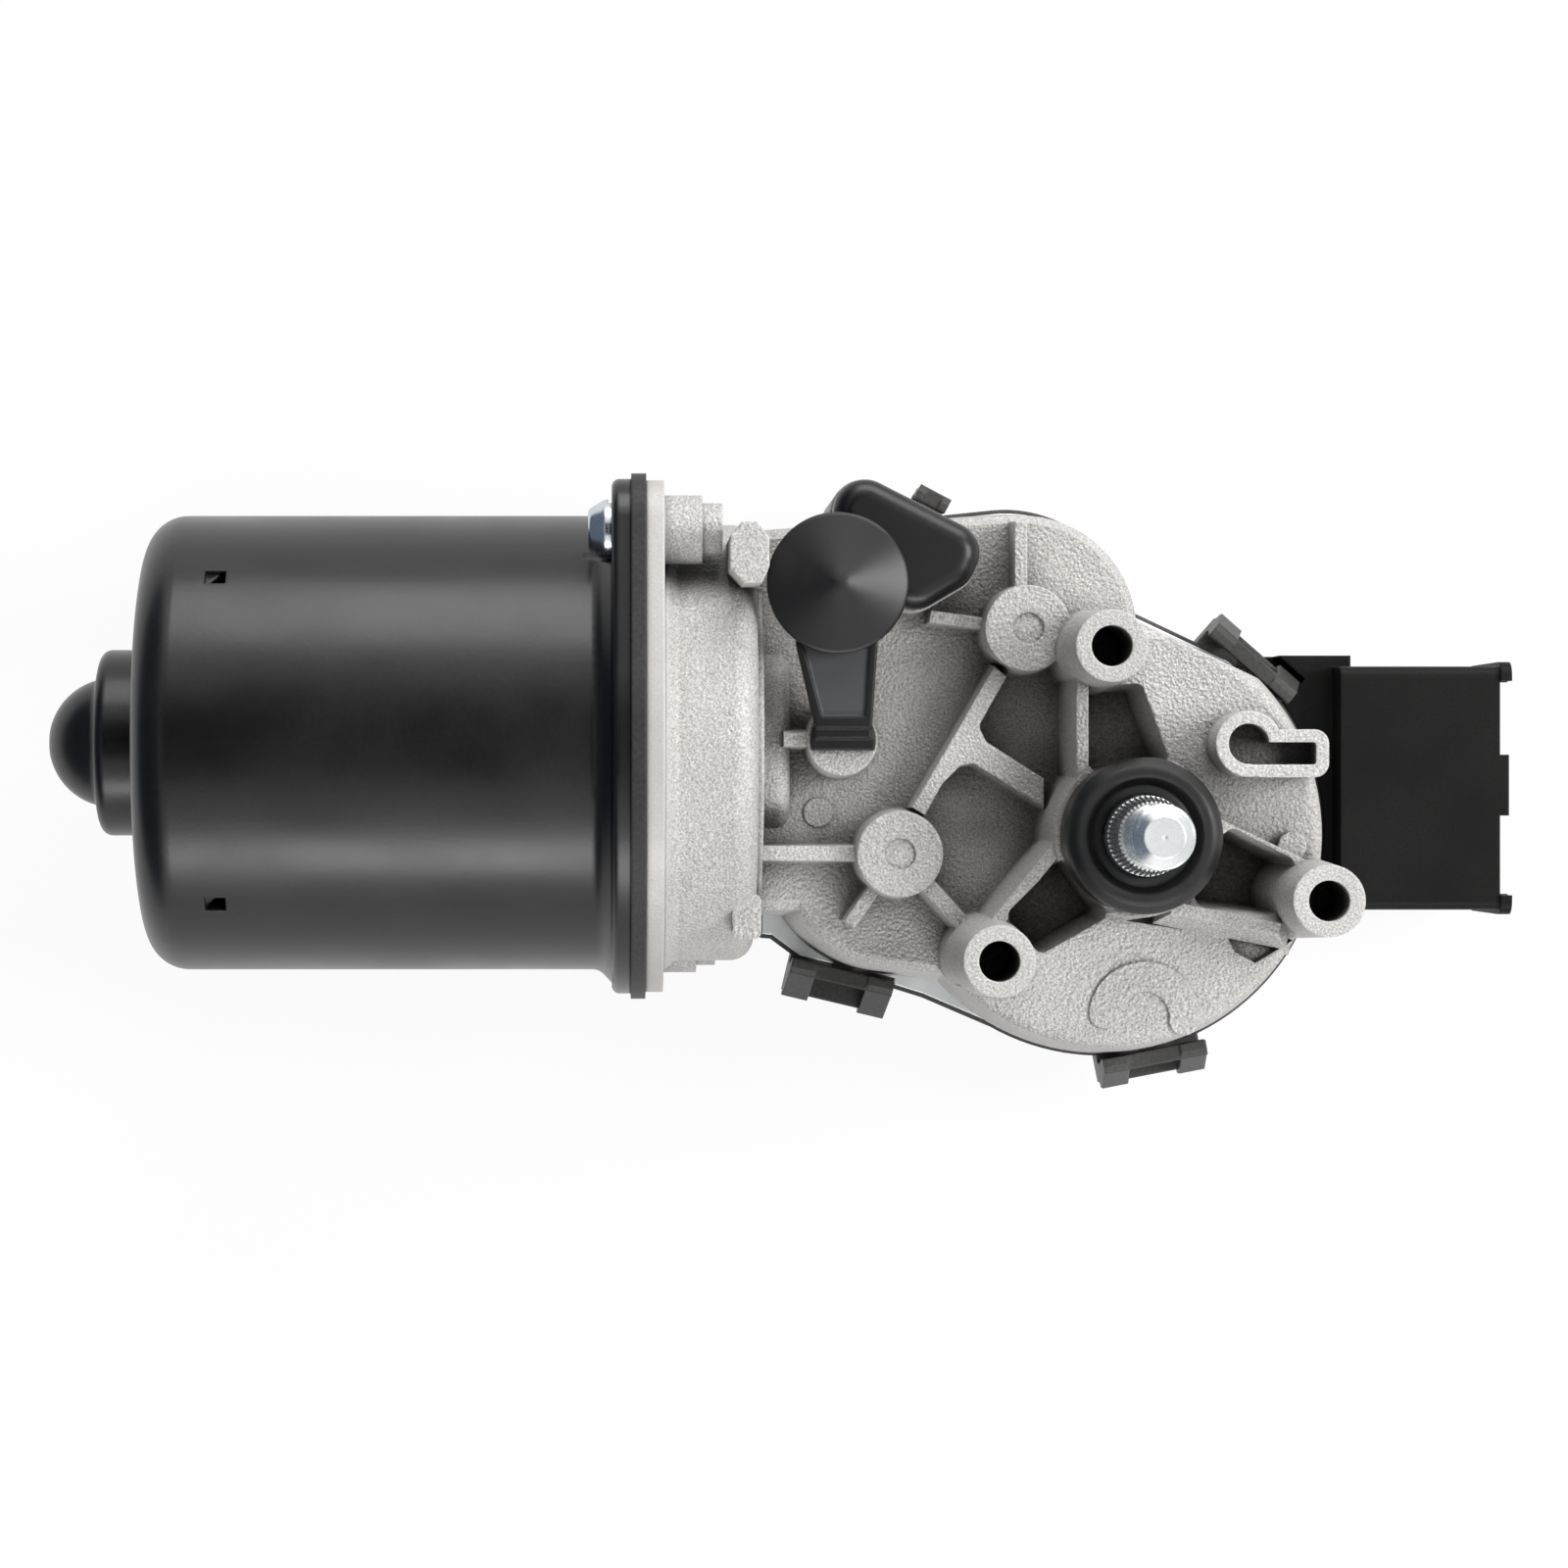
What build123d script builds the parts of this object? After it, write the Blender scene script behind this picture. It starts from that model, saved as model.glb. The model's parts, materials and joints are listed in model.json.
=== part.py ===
from build123d import *
import math
import os

# Wiper motor with a double worm gearbox, in millimetres.
# The origin is the centre of the mounting circle, on the plane of the boss tops.
# The output shaft points to +Z, the motor can to -X and the connector mouth to +X.

os.makedirs("parts", exist_ok=True)

# Fits
running_clearance = 0.05
press_clearance = 0.02
seat_clearance = 0.1
mould_clearance = 0.3

# Gear train
worm_module = 1.25
worm_pitch_radius = 4.5
worm_length = 11.0
wheel_teeth = 16
wheel_height = 8.0
pinion_module = 1.0
pinion_teeth = 11
output_teeth = 48
output_gear_height = 6.0
pressure_angle = 20.0
tooth_backlash = 0.14

# Motor axis, which lies along X
motor_axis_y = 12.0
motor_axis_z = -36.0
can_radius = 30.0
can_wall = 2.0
can_end_x = -127.4
can_flange_x = -66.4
flange_thickness = 2.5
flange_radius = 33.2
ear_radius = 6.5
nose_radius = 12.3
nose_length = 6.5
dome_length = 6.8
gasket_thickness = 1.9
gasket_lip = 0.7
can_screw_radius = 2.4
can_screw_head_radius = 3.9
can_screw_head_height = 3.0
can_screw_y = 26.9
can_screw_z = 20.8

# Casting: levels and walls
joint_z = -50.0
plate_z = -27.0
pad_z = -18.0
plateau_z = -14.0
web_z = -11.0
keyhole_z = -5.0
case_radius = 30.0
upper_lobe_radius = 16.7
lower_lobe_radius = 16.6
lobe_neck = (-21.0, -13.2)
lobe_neck_radius = 7.0
plateau_shift = 3.0
plateau_radius = 27.0
plateau_edge = 1.6
plate_edge = 1.2
cast_draft = 3.0
case_left_x = -48.5
case_top_y = 40.9
case_bottom_y = -11.3
housing_flange = 2.3
collar_radius = 28.8
collar_length = 11.9
collar_edge = 3.0
stub_radius = 14.4
stub_length = 4.5

# Mounting bosses
boss_circle_radius = 24.0
boss_first_angle = 100.4
boss_count = 3
boss_radius = 4.5
boss_draft = 2.2
boss_hole_radius = 2.55
boss_hole_depth = 16.0
pad_radius = 5.5

# Output shaft
shaft_radius = 5.0
shaft_end_radius = 4.0
shaft_tip_radius = 2.5
shaft_top_z = 17.0
taper_foot_z = 0.5
taper_length = 6.0
serrations = 32
bush_wall = 2.0
neck_radius = 8.0
neck_top_z = -7.5
seal_radius = 9.8
seal_top_z = -1.0
seal_foot_z = -9.4
bush_top_z = -12.0
ring_height = 2.2
clip_thickness = 0.8
washer_thickness = 0.6
axle_radius = 2.5
axle_top_z = -22.5

# Cover and connector
cover_plate_thickness = 1.0
back_cover_depth = 11.0
back_cover_wall = 2.0
cover_overhang = 0.6
connector_end_x = 54.5
connector_start_x = 31.6
connector_low_y = -10.4
connector_high_y = 22.4
connector_low_z = -64.0
connector_high_z = -44.0
connector_wall = 2.0
lock_tab_middle_y = 6.4
lock_tab_width = 8.2
terminal_count = 5
terminal_pitch = 5.0
blade_width = 2.8
blade_thickness = 0.8
blade_length = 10.0

# Motor inside
motor_shaft_radius = 4.0
worm_root_radius = worm_pitch_radius - 1.25 * worm_module
core_start_x = -114.0
core_end_x = -78.0
core_slots = 12
commutator_radius = 11.0
commutator_start_x = -70.0
commutator_end_x = -55.5
commutator_bars = 12
brush_x = -61.0
brush_length = 8.0
brush_width = 4.0
brush_height = 5.0
brush_angles = {"common": 0.0, "low_speed": 180.0, "high_speed": 120.0}
magnet_thickness = 7.1
air_gap = 0.8
bearing_outer_radius = 11.0
bearing_width = 7.0
card_radius = 26.0
card_thickness = 2.0

# Values worked out from the driving dimensions
axial_pitch = math.pi * worm_module
magnet_outer_radius = can_radius - can_wall - seat_clearance
magnet_inner_radius = magnet_outer_radius - magnet_thickness
core_radius = magnet_inner_radius - air_gap
lead_angle = math.atan(worm_module / (2 * worm_pitch_radius))
wheel_radius = worm_module * wheel_teeth / 2
pinion_radius = pinion_module * pinion_teeth / 2
output_radius = pinion_module * output_teeth / 2
worm_tip_radius = worm_pitch_radius + worm_module
worm_centres = worm_pitch_radius + wheel_radius
pinion_centres = pinion_radius + output_radius
idler_y = {"upper": motor_axis_y + worm_centres, "lower": motor_axis_y - worm_centres}
idler_x = {name: -math.sqrt(pinion_centres**2 - y**2) for name, y in idler_y.items()}
idlers = {name: (idler_x[name], idler_y[name]) for name in idler_y}
wheel_top_z = motor_axis_z + wheel_height / 2
wheel_foot_z = motor_axis_z - wheel_height / 2
gear_top_z = motor_axis_z - worm_tip_radius - 0.75
gear_foot_z = gear_top_z - output_gear_height
housing_face_x = can_flange_x + flange_thickness + gasket_thickness
collar_face_x = housing_face_x + housing_flange
collar_end_x = collar_face_x + collar_length
stub_end_x = collar_end_x + stub_length
bearing_end_x = stub_end_x - 0.2
bearing_start_x = bearing_end_x - bearing_width
cover_z = joint_z - cover_plate_thickness
chamber_top_z = gear_top_z + 0.9
bush_radius = shaft_radius + running_clearance + bush_wall
screw_places = ((can_screw_y, can_screw_z), (-can_screw_y, -can_screw_z))
boss_angles = [boss_first_angle + 360 / boss_count * k for k in range(boss_count)]

motor_section = Plane(origin=(0, motor_axis_y, motor_axis_z), x_dir=(1, 0, 0), z_dir=(0, -1, 0))
motor_axis = Axis((0, motor_axis_y, motor_axis_z), (1, 0, 0))


def across_motor(x):
    """The plane square to the motor axis at this x, its own axes along Y and Z."""
    return Plane(origin=(x, motor_axis_y, motor_axis_z), x_dir=(0, 1, 0), z_dir=(1, 0, 0))


def polar(radius, degrees):
    """The point at this radius and angle."""
    return (radius * math.cos(math.radians(degrees)), radius * math.sin(math.radians(degrees)))


def outline(*corners):
    """A closed outline from corners given as (x, y) or (x, y, fillet radius)."""
    radii = [corner[2] if len(corner) > 2 else 0 for corner in corners]
    FilletPolyline(*[corner[:2] for corner in corners], radius=radii, close=True)


def save(piece, name):
    """Label a finished piece and write its file."""
    piece.part.label = name
    export_step(piece.part, f"parts/{name}.step")


def rib(start, end, width, foot_z, top_z, draft=cast_draft):
    """A straight cast rib with drafted flanks, width being that of its top."""
    height = top_z - foot_z
    spread = 2 * height * math.tan(math.radians(draft))
    middle = ((start[0] + end[0]) / 2, (start[1] + end[1]) / 2)
    turn = math.degrees(math.atan2(end[1] - start[1], end[0] - start[0]))
    with BuildSketch(Plane.XY.offset(foot_z)) as foot:
        with Locations(Location((*middle, 0), turn)):
            Rectangle(math.dist(start, end) + spread, width + spread)
    extrude(foot.sketch, amount=height, taper=draft)


def cone_boss(x, y, radius, foot_z, top_z, draft=cast_draft):
    """A round cast boss, radius being that of its top."""
    foot_radius = radius + (top_z - foot_z) * math.tan(math.radians(draft))
    with BuildSketch(Plane.XY.offset(foot_z)) as foot:
        with Locations((x, y)):
            Circle(foot_radius)
    with BuildSketch(Plane.XY.offset(top_z)) as top:
        with Locations((x, y)):
            Circle(radius)
    loft([foot.sketch, top.sketch])


def ear_outline(radius, ears):
    """The flange outline shared by can, gasket and casting."""
    Circle(radius)
    with Locations(*screw_places):
        Circle(ears)
    make_hull()


def tooth_half_angle(radius, module, teeth, backlash):
    """Half the angle that an involute tooth takes at this radius."""
    pitch_radius = module * teeth / 2
    base_radius = pitch_radius * math.cos(math.radians(pressure_angle))
    here = math.acos(min(1.0, base_radius / radius))
    at_pitch = math.radians(pressure_angle)
    involute = (math.tan(here) - here) - (math.tan(at_pitch) - at_pitch)
    return math.pi / (2 * teeth) - backlash / (2 * pitch_radius) - involute


def gear_outline(module, teeth, first_tooth, backlash=tooth_backlash, tip_share=1.0):
    """Points round a spur gear, with the centre of one tooth at first_tooth radians."""
    pitch_radius = module * teeth / 2
    root_radius = pitch_radius - 1.25 * module
    tip_radius = pitch_radius + tip_share * module
    radii = (root_radius, pitch_radius, tip_radius)
    halves = [tooth_half_angle(radius, module, teeth, backlash) for radius in radii]
    points = []
    for tooth in range(teeth):
        centre = first_tooth + 2 * math.pi * tooth / teeth
        flank = [(radius, -half) for radius, half in zip(radii, halves)]
        flank += [(radius, half) for radius, half in reversed(list(zip(radii, halves)))]
        for radius, offset in flank:
            angle = centre + offset
            points.append((radius * math.cos(angle), radius * math.sin(angle)))
    return points


# Gearbox casting, made from its plateau, its motor collar and the gear case
def case_circle(z):
    """Centre and radius of the round case wall at this level, leaning in toward -X."""
    share = (z - joint_z) / (plateau_z - joint_z)
    radius = case_radius + share * (plateau_radius - case_radius)
    return -plateau_shift * share, radius


with BuildPart() as plateau:
    for level in (plate_z, plateau_z):
        with BuildSketch(Plane.XY.offset(level)):
            with Locations((case_circle(level)[0], 0)):
                Circle(case_circle(level)[1])
    loft()
    fillet(plateau.edges().group_by(Axis.Z)[-1], plateau_edge)
    with BuildSketch(Plane.XY.offset(plate_z)):
        with BuildLine():
            outline(
                (-60, 45),
                (-9, 45),
                (-7, 33),
                (-6.5, 8),
                (-6.0, 0),
                (-9.5, -3.5),
                (-18.5, -12.0),
                (-22.0, -19.5),
                (-19.0, -30),
                (-60, -40),
            )
        make_face()
    extrude(amount=plateau_z - plate_z, mode=Mode.SUBTRACT)

with BuildPart() as motor_collar:
    with BuildSketch(across_motor(housing_face_x)):
        ear_outline(flange_radius - 0.2, ear_radius - 0.2)
    extrude(amount=housing_flange)
    with BuildSketch(motor_section):
        with BuildLine():
            outline(
                (housing_face_x, 0),
                (housing_face_x, collar_radius + 1.2),
                (collar_face_x + 0.3, collar_radius + 1.2, 0.3),
                (collar_face_x + 1.6, collar_radius, 1.0),
                (collar_end_x, collar_radius, collar_edge),
                (collar_end_x, 21.5),
                (collar_end_x + 0.9, 21.5, 0.4),
                (collar_end_x + 0.9, stub_radius),
                (stub_end_x, stub_radius, 1.6),
                (stub_end_x, 0),
            )
        make_face()
    revolve(axis=motor_axis)
    # Screw bosses behind the two ears, each with a gusset toward the collar
    with BuildSketch(across_motor(collar_face_x)):
        with Locations(*screw_places):
            Circle(4.4)
    extrude(amount=4.8)
    with BuildSketch(across_motor(collar_face_x)):
        with Locations(*screw_places):
            Circle(3.4)
    extrude(amount=7.4)

# Where things stand on the casting
keyhole_centre = (13.4, 11.5)
keyhole_drop = 1.2
keyhole_length = 10.0
keyhole_outer_radius = 4.15
keyhole_outer_half = 3.0
keyhole_wall = 1.6
keyhole_corner = 1.8
keyhole_floor_z = -10.5
nipple_centre = (-37.7, 32.0)
nipple_radius = 3.2
nipple_top_z = -15.0
foot_centre = (-36.8, 12.1)
foot_boss_radius = 4.5
foot_boss_z = -18.0
boot_top_z = -13.8
boot_foot_z = -19.0
boot_corners = ((-34.6, 46.2), (-18.3, 37.9), (-20.6, 32.3), (-28.6, 27.6), (-39.6, 41.9))
boot_corner_radius = 4.0
turret_lip = 0.2
chord_angle = 64.7
chord_at_joint = 28.05
chord_at_plateau = 24.8
latches = (
    (-35.1, -17.9, -103.4, 14.1, 5.4),
    (6.3, -28.6, -79.0, 14.1, 4.4),
    (18.8, 21.6, 48.5, 14.1, 4.0),
    (-24.0, 43.5, 62.0, 4.6, 1.9),
)
land_corners = (
    (-17.1, 21.6),
    (-27.7, 3.5),
    (-26.1, 2.5),
    (-23.9, 6.5, 1.0),
    (-21.5, 8.9, 1.0),
    (-19.8, 9.2, 1.0),
    (-10.8, 3.5),
    (-10.8, 7.2),
    (-18.2, 11.9, 1.2),
    (-19.2, 13.9, 1.2),
    (-15.6, 20.3),
)
latch_top_z = -43.6
lug_reach = 1.8
chamber_radius = 25.8
idler_chamber_radius = 12.2
idler_chamber_top_z = wheel_top_z + 0.5
tunnel_radius = worm_tip_radius + 0.85
tunnel_end_x = idler_x["upper"] + worm_length / 2 + 0.6
pocket_three = ((-5.9, 18.8), (1.1, 19.4), (4.9, 8.9), (-5.8, 7.7))
pocket_four = ((-8.6, -2.3), (-16.5, -10.2), (-11.8, -15.3), (-2.9, -10.2))
pocket_five = ((11.7, 1.1), (20.1, -3.3), (18.1, -10.2), (7.1, -8.9))


def case_section(level, lobe, inset):
    """The upper lobe and the block that reaches back to the motor collar."""
    with BuildSketch(Plane.XY.offset(level)) as section:
        with Locations(idlers["upper"]):
            Circle(lobe)
        with BuildLine():
            Polyline(
                (case_left_x, case_bottom_y + inset),
                (-30, case_bottom_y + inset),
                (-30, case_top_y - inset),
                (case_left_x, case_top_y - inset),
                close=True,
            )
        make_face()
        make_hull()
    return section.sketch


def round_section(level):
    """The round case at this level."""
    centre_x, radius = case_circle(level)
    with BuildSketch(Plane.XY.offset(level)) as section:
        with Locations((centre_x, 0)):
            Circle(radius)
    return section.sketch


def lower_section(level, lobe):
    """The lower lobe with the tangent that runs from it into the round case."""
    with BuildSketch(Plane.XY.offset(level)) as section:
        with Locations(idlers["lower"]):
            Circle(lobe)
        with Locations(lobe_neck):
            Circle(lobe - lower_lobe_radius + lobe_neck_radius)
        make_hull()
    return section.sketch


chord_tilt = math.atan((chord_at_joint - chord_at_plateau) / (plateau_z - joint_z))
chord_point = (*polar(chord_at_joint, chord_angle), joint_z)
chord_normal = (*polar(math.cos(chord_tilt), chord_angle), math.sin(chord_tilt))
edge_z = plate_z - plate_edge

with BuildPart() as gear_housing:
    # Gear case: round wall, lobes over the idlers, flat chord on the upper right
    loft([round_section(joint_z), round_section(plate_z)])
    loft([lower_section(joint_z, lower_lobe_radius), lower_section(edge_z, lower_lobe_radius - 1.7)])
    loft([lower_section(edge_z, lower_lobe_radius - 1.7), lower_section(plate_z, lower_lobe_radius - 2.7)])
    add(plateau.part)
    with BuildSketch(Plane(origin=chord_point, z_dir=chord_normal)):
        Rectangle(120, 120)
    extrude(amount=20, mode=Mode.SUBTRACT)
    loft([case_section(joint_z, upper_lobe_radius, 0), case_section(edge_z, upper_lobe_radius - 1.6, 1.4)])
    loft(
        [
            case_section(edge_z, upper_lobe_radius - 1.6, 1.4),
            case_section(plate_z, upper_lobe_radius - 2.6, 2.6),
        ]
    )
    add(motor_collar.part)

    # Pads over the idler axles and the ribs that tie them
    for x, y in idlers.values():
        cone_boss(x, y, pad_radius, plate_z - 1, pad_z)
    upper_pad = idlers["upper"]
    lower_pad = idlers["lower"]
    rib((upper_pad[0] - 0.6, upper_pad[1]), (upper_pad[0] - 0.6, 40.4), 1.6, plate_z - 1, pad_z - 3.5)
    rib(upper_pad, (-25.2, 28.2), 1.5, plate_z - 1, pad_z - 4.5)
    rib(upper_pad, (-4.4, 27.4), 1.4, plate_z - 1, pad_z)
    rib((collar_end_x - 1, -2.4), lower_pad, 1.9, plate_z - 1, pad_z - 3)
    rib(lower_pad, (-35.6, -11.6), 1.6, plate_z - 1, pad_z - 4)
    rib(lower_pad, (-19.5, -13.5), 2.0, plate_z - 1, pad_z - 1)

    # Webs from the neck out to the bosses
    rib((-6.8, 2), (-6.8, 21), 1.5, plate_z - 1, web_z)
    rib((-8.2, 0.6), (-18.4, -12.0), 1.6, plate_z - 1, web_z)
    rib((7.5, 2.7), (22.0, -4.2), 1.5, plateau_z - 1, web_z)
    rib((4.5, -9.2), (18.2, -11.9), 1.5, plateau_z - 1, web_z, draft=30)
    cone_boss(20.0, -1.4, 1.8, plateau_z - 1, web_z - 1.4)
    land_height = pad_z - 2 - plate_z + 1
    with BuildSketch(Plane.XY.offset(plate_z - 1)):
        with BuildLine():
            outline(*land_corners)
        make_face()
        offset(amount=land_height * math.tan(math.radians(cast_draft)), kind=Kind.INTERSECTION)
    extrude(amount=land_height, taper=cast_draft)

    # Neck round the output shaft
    cone_boss(0, 0, 10.4, plateau_z - 13, seal_top_z - 8.6)
    with BuildSketch(Plane.XY.offset(plateau_z)):
        Circle(neck_radius)
    extrude(amount=neck_top_z - plateau_z)

    # Pockets between the webs
    for corners, depth in ((pocket_three, 15.0), (pocket_four, 16.0), (pocket_five, 16.0)):
        with BuildSketch(Plane.XY.offset(plateau_z - depth)):
            with BuildLine():
                outline(*[(*corner, 1.2) for corner in corners])
            make_face()
            offset(amount=-0.8)
        extrude(amount=depth + 6, taper=-2.9, mode=Mode.SUBTRACT)
    with BuildSketch(Plane.XY.offset(plateau_z - 1.2)):
        with BuildLine():
            outline((-1.0, -10.9), (11.9, -12.9), (12.9, -14.9), (15.5, -16.3), (20.4, -13.4), (9, -9.5))
        make_face()
    extrude(amount=1.3, mode=Mode.SUBTRACT)

    # Mounting bosses
    for angle in boss_angles:
        cone_boss(*polar(boss_circle_radius, angle), boss_radius, plate_z - 1, 0, draft=boss_draft)

    # Keyhole-shaped locating wall
    for foot, top, grow, mode in (
        (plateau_z - 10, keyhole_z, 0, Mode.ADD),
        (keyhole_floor_z, keyhole_z, keyhole_wall, Mode.SUBTRACT),
    ):
        with BuildSketch(Plane.XY.offset(foot)):
            with Locations(keyhole_centre):
                Circle(keyhole_outer_radius - grow)
            middle = keyhole_centre[0] + (keyhole_length - grow) / 2
            with Locations((middle, keyhole_centre[1] - keyhole_drop)):
                sides = (keyhole_length - grow, 2 * (keyhole_outer_half - grow))
                RectangleRounded(*sides, keyhole_corner - 0.9 * grow)
        extrude(amount=top - foot, mode=mode)

    # Small cast features: marks, locating bosses, foot boss, vent nipple, boot turret
    with BuildSketch(Plane.XY.offset(plateau_z)):
        with BuildLine():
            CenterArc((1.35, -23.1), 7.0, -10, 190)
            CenterArc((1.35, -23.1), 3.2, -10, 190)
            for turn, way in ((-10, -1), (180, 1)):
                start = Vector(1.35, -23.1) + Vector(*polar(3.2, turn))
                end = Vector(1.35, -23.1) + Vector(*polar(7.0, turn))
                bulge = Vector(1.35, -23.1) + Vector(*polar(5.1, turn)) + Vector(*polar(1.5 * way, turn + 90))
                ThreePointArc(start, bulge, end)
        make_face()
    extrude(amount=0.3)
    with BuildSketch(Plane.XY.offset(plate_z)):
        with Locations((-39.5, 2.8)):
            Circle(1.9)
    extrude(amount=0.3)
    for x, y in idlers.values():
        with BuildSketch(Plane.XY.offset(pad_z)):
            with Locations((x, y)):
                Circle(2.0)
        extrude(amount=-0.35, mode=Mode.SUBTRACT)
    with BuildSketch(Plane.XY.offset(-25)):
        with BuildLine():
            outline(
                (-51.6, 33.4),
                (-49.9, 31.5),
                (-47.6, 31.6),
                (-46.7, 33.6),
                (-46.7, 37.2),
                (-48.3, 39.2),
                (-50.1, 39.2),
                (-51.6, 37.4),
            )
        make_face()
    extrude(amount=22)
    with BuildSketch(Plane.XY.offset(-32)):
        with Locations((-49.1, -10.5)):
            RectangleRounded(3.7, 5.7, 0.9)
    extrude(amount=15)
    cone_boss(*foot_centre, foot_boss_radius, plate_z - 1, foot_boss_z)
    rib((stub_end_x - 1, 12.3), (-39, 12.3), 1.9, plate_z - 1, foot_boss_z - 1)
    cone_boss(*nipple_centre, nipple_radius, plate_z - 1, nipple_top_z, draft=0)
    with BuildSketch(Plane.XY.offset(joint_z + 6)):
        with BuildLine():
            outline(*[(*corner, boot_corner_radius) for corner in boot_corners])
        make_face()
        offset(amount=turret_lip)
    extrude(amount=boot_foot_z - joint_z - 6)
    for x, y, turn, span, reach in latches:
        with BuildSketch(Plane.XY.offset(joint_z + 0.6)):
            with Locations(Location((x, y, 0), turn) * Location((lug_reach / 2 - 1.5, 0, 0))):
                Rectangle(lug_reach + 3, span / 5)
        extrude(amount=2.6)

    # Flat joint face for the cover where the stub of the collar would stand below it
    with BuildSketch(Plane.XY.offset(joint_z)):
        with Locations((collar_end_x + 10.9, motor_axis_y)):
            Rectangle(20, 60)
    extrude(amount=-20, mode=Mode.SUBTRACT)

    # Hollows: motor end, bearing seat, worm tunnel, gear chambers
    with BuildSketch(across_motor(housing_face_x)):
        Circle(card_radius + 0.5)
    extrude(amount=collar_end_x - housing_face_x - 2.5, mode=Mode.SUBTRACT)
    with BuildSketch(across_motor(housing_face_x)):
        Circle(bearing_outer_radius + press_clearance)
    extrude(amount=bearing_end_x - housing_face_x, mode=Mode.SUBTRACT)
    with BuildSketch(across_motor(housing_face_x)):
        Circle(tunnel_radius)
    extrude(amount=tunnel_end_x - housing_face_x, mode=Mode.SUBTRACT)
    with BuildSketch(Plane.XY.offset(joint_z)):
        Circle(chamber_radius)
    extrude(amount=chamber_top_z - joint_z, mode=Mode.SUBTRACT)
    with BuildSketch(Plane.XY.offset(joint_z)):
        with Locations(*idlers.values()):
            Circle(idler_chamber_radius)
    extrude(amount=idler_chamber_top_z - joint_z, mode=Mode.SUBTRACT)

    # Bores: mounting bosses, output bush, idler axles and can screws
    with PolarLocations(boss_circle_radius, boss_count, start_angle=boss_first_angle):
        Hole(boss_hole_radius, depth=boss_hole_depth)
    with BuildSketch(Plane.XY.offset(chamber_top_z)):
        Circle(bush_radius + press_clearance)
    extrude(amount=bush_top_z + ring_height + seat_clearance - chamber_top_z, mode=Mode.SUBTRACT)
    with BuildSketch(Plane.XY.offset(neck_top_z)):
        Circle(shaft_radius + 0.25)
    extrude(amount=-8, mode=Mode.SUBTRACT)
    with BuildSketch(Plane.XY.offset(idler_chamber_top_z)):
        with Locations(*idlers.values()):
            Circle(axle_radius + press_clearance)
    extrude(amount=axle_top_z + seat_clearance - idler_chamber_top_z, mode=Mode.SUBTRACT)
    with BuildSketch(across_motor(housing_face_x)):
        with Locations(*screw_places):
            Circle(can_screw_radius + press_clearance)
    extrude(amount=8.5, mode=Mode.SUBTRACT)
save(gear_housing, "gear_housing")

# Motor can: deep-drawn cup with a bearing nose, a thrust dome and a screw flange
flange_end_x = can_flange_x + flange_thickness
nose_end_x = can_end_x - nose_length
dome_tip_x = nose_end_x - dome_length

with BuildPart() as motor_can:
    with BuildSketch(across_motor(can_flange_x)):
        ear_outline(flange_radius, ear_radius)
    extrude(amount=flange_thickness)
    fillet(motor_can.edges().group_by(Axis.X)[0], 1.0)
    with BuildSketch(motor_section):
        with BuildLine():
            FilletPolyline(
                (flange_end_x, 0),
                (flange_end_x, can_radius + 1.8),
                (can_flange_x, can_radius + 1.8),
                (can_flange_x - 1.7, can_radius),
                (can_end_x, can_radius),
                (can_end_x, nose_radius),
                (nose_end_x, nose_radius),
                (nose_end_x, 9.4),
                radius=[0, 0, 2.0, 5.2, 0.8, 1.5],
            )
            Line((nose_end_x, 9.4), (nose_end_x - 0.7, 8.3))
            ThreePointArc((nose_end_x - 0.7, 8.3), (nose_end_x - 4.8, 5.8), (dome_tip_x, 2.0))
            Line((dome_tip_x, 2.0), (dome_tip_x, 0))
            Line((dome_tip_x, 0), (flange_end_x, 0))
        make_face()
    revolve(axis=motor_axis)
    with BuildSketch(motor_section):
        with BuildLine():
            FilletPolyline(
                (flange_end_x, 0),
                (flange_end_x, can_radius - can_wall),
                (can_end_x + can_wall, can_radius - can_wall),
                (can_end_x + can_wall, nose_radius - can_wall),
                (nose_end_x + can_wall, nose_radius - can_wall),
                (nose_end_x + can_wall, 6.0),
                (dome_tip_x + can_wall, 2.2),
                (dome_tip_x + can_wall, 0),
                radius=[0, 3.2, 0.8, 0, 1.5, 0],
            )
            Line((dome_tip_x + can_wall, 0), (flange_end_x, 0))
        make_face()
    revolve(axis=motor_axis, mode=Mode.SUBTRACT)
    with BuildSketch(across_motor(can_flange_x - 1)):
        with Locations(*screw_places):
            Circle(can_screw_radius + seat_clearance)
    extrude(amount=flange_thickness + 2, mode=Mode.SUBTRACT)
    with BuildSketch(across_motor(can_flange_x)):
        with Locations(*screw_places):
            Circle(can_screw_head_radius + 0.2)
    extrude(amount=-can_screw_head_height - 0.5, mode=Mode.SUBTRACT)
    # Four lanced windows that stake the magnet cage
    for turn in (46, 134, 226, 314):
        window = Plane(
            origin=(-116.9, motor_axis_y, motor_axis_z), x_dir=(1, 0, 0), z_dir=(0, *polar(1, turn))
        )
        with BuildSketch(window.offset(can_radius - can_wall - 1)):
            Rectangle(2.7, 2.3)
        extrude(amount=can_wall + 2, mode=Mode.SUBTRACT)
        with BuildSketch(window.offset(can_radius - can_wall + 0.2)):
            with BuildLine():
                Polyline((-1.35, -1.15), (-1.35, 1.15), (0.5, 1.15), close=True)
            make_face()
        extrude(amount=can_wall - 0.9)
save(motor_can, "motor_can")

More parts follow.
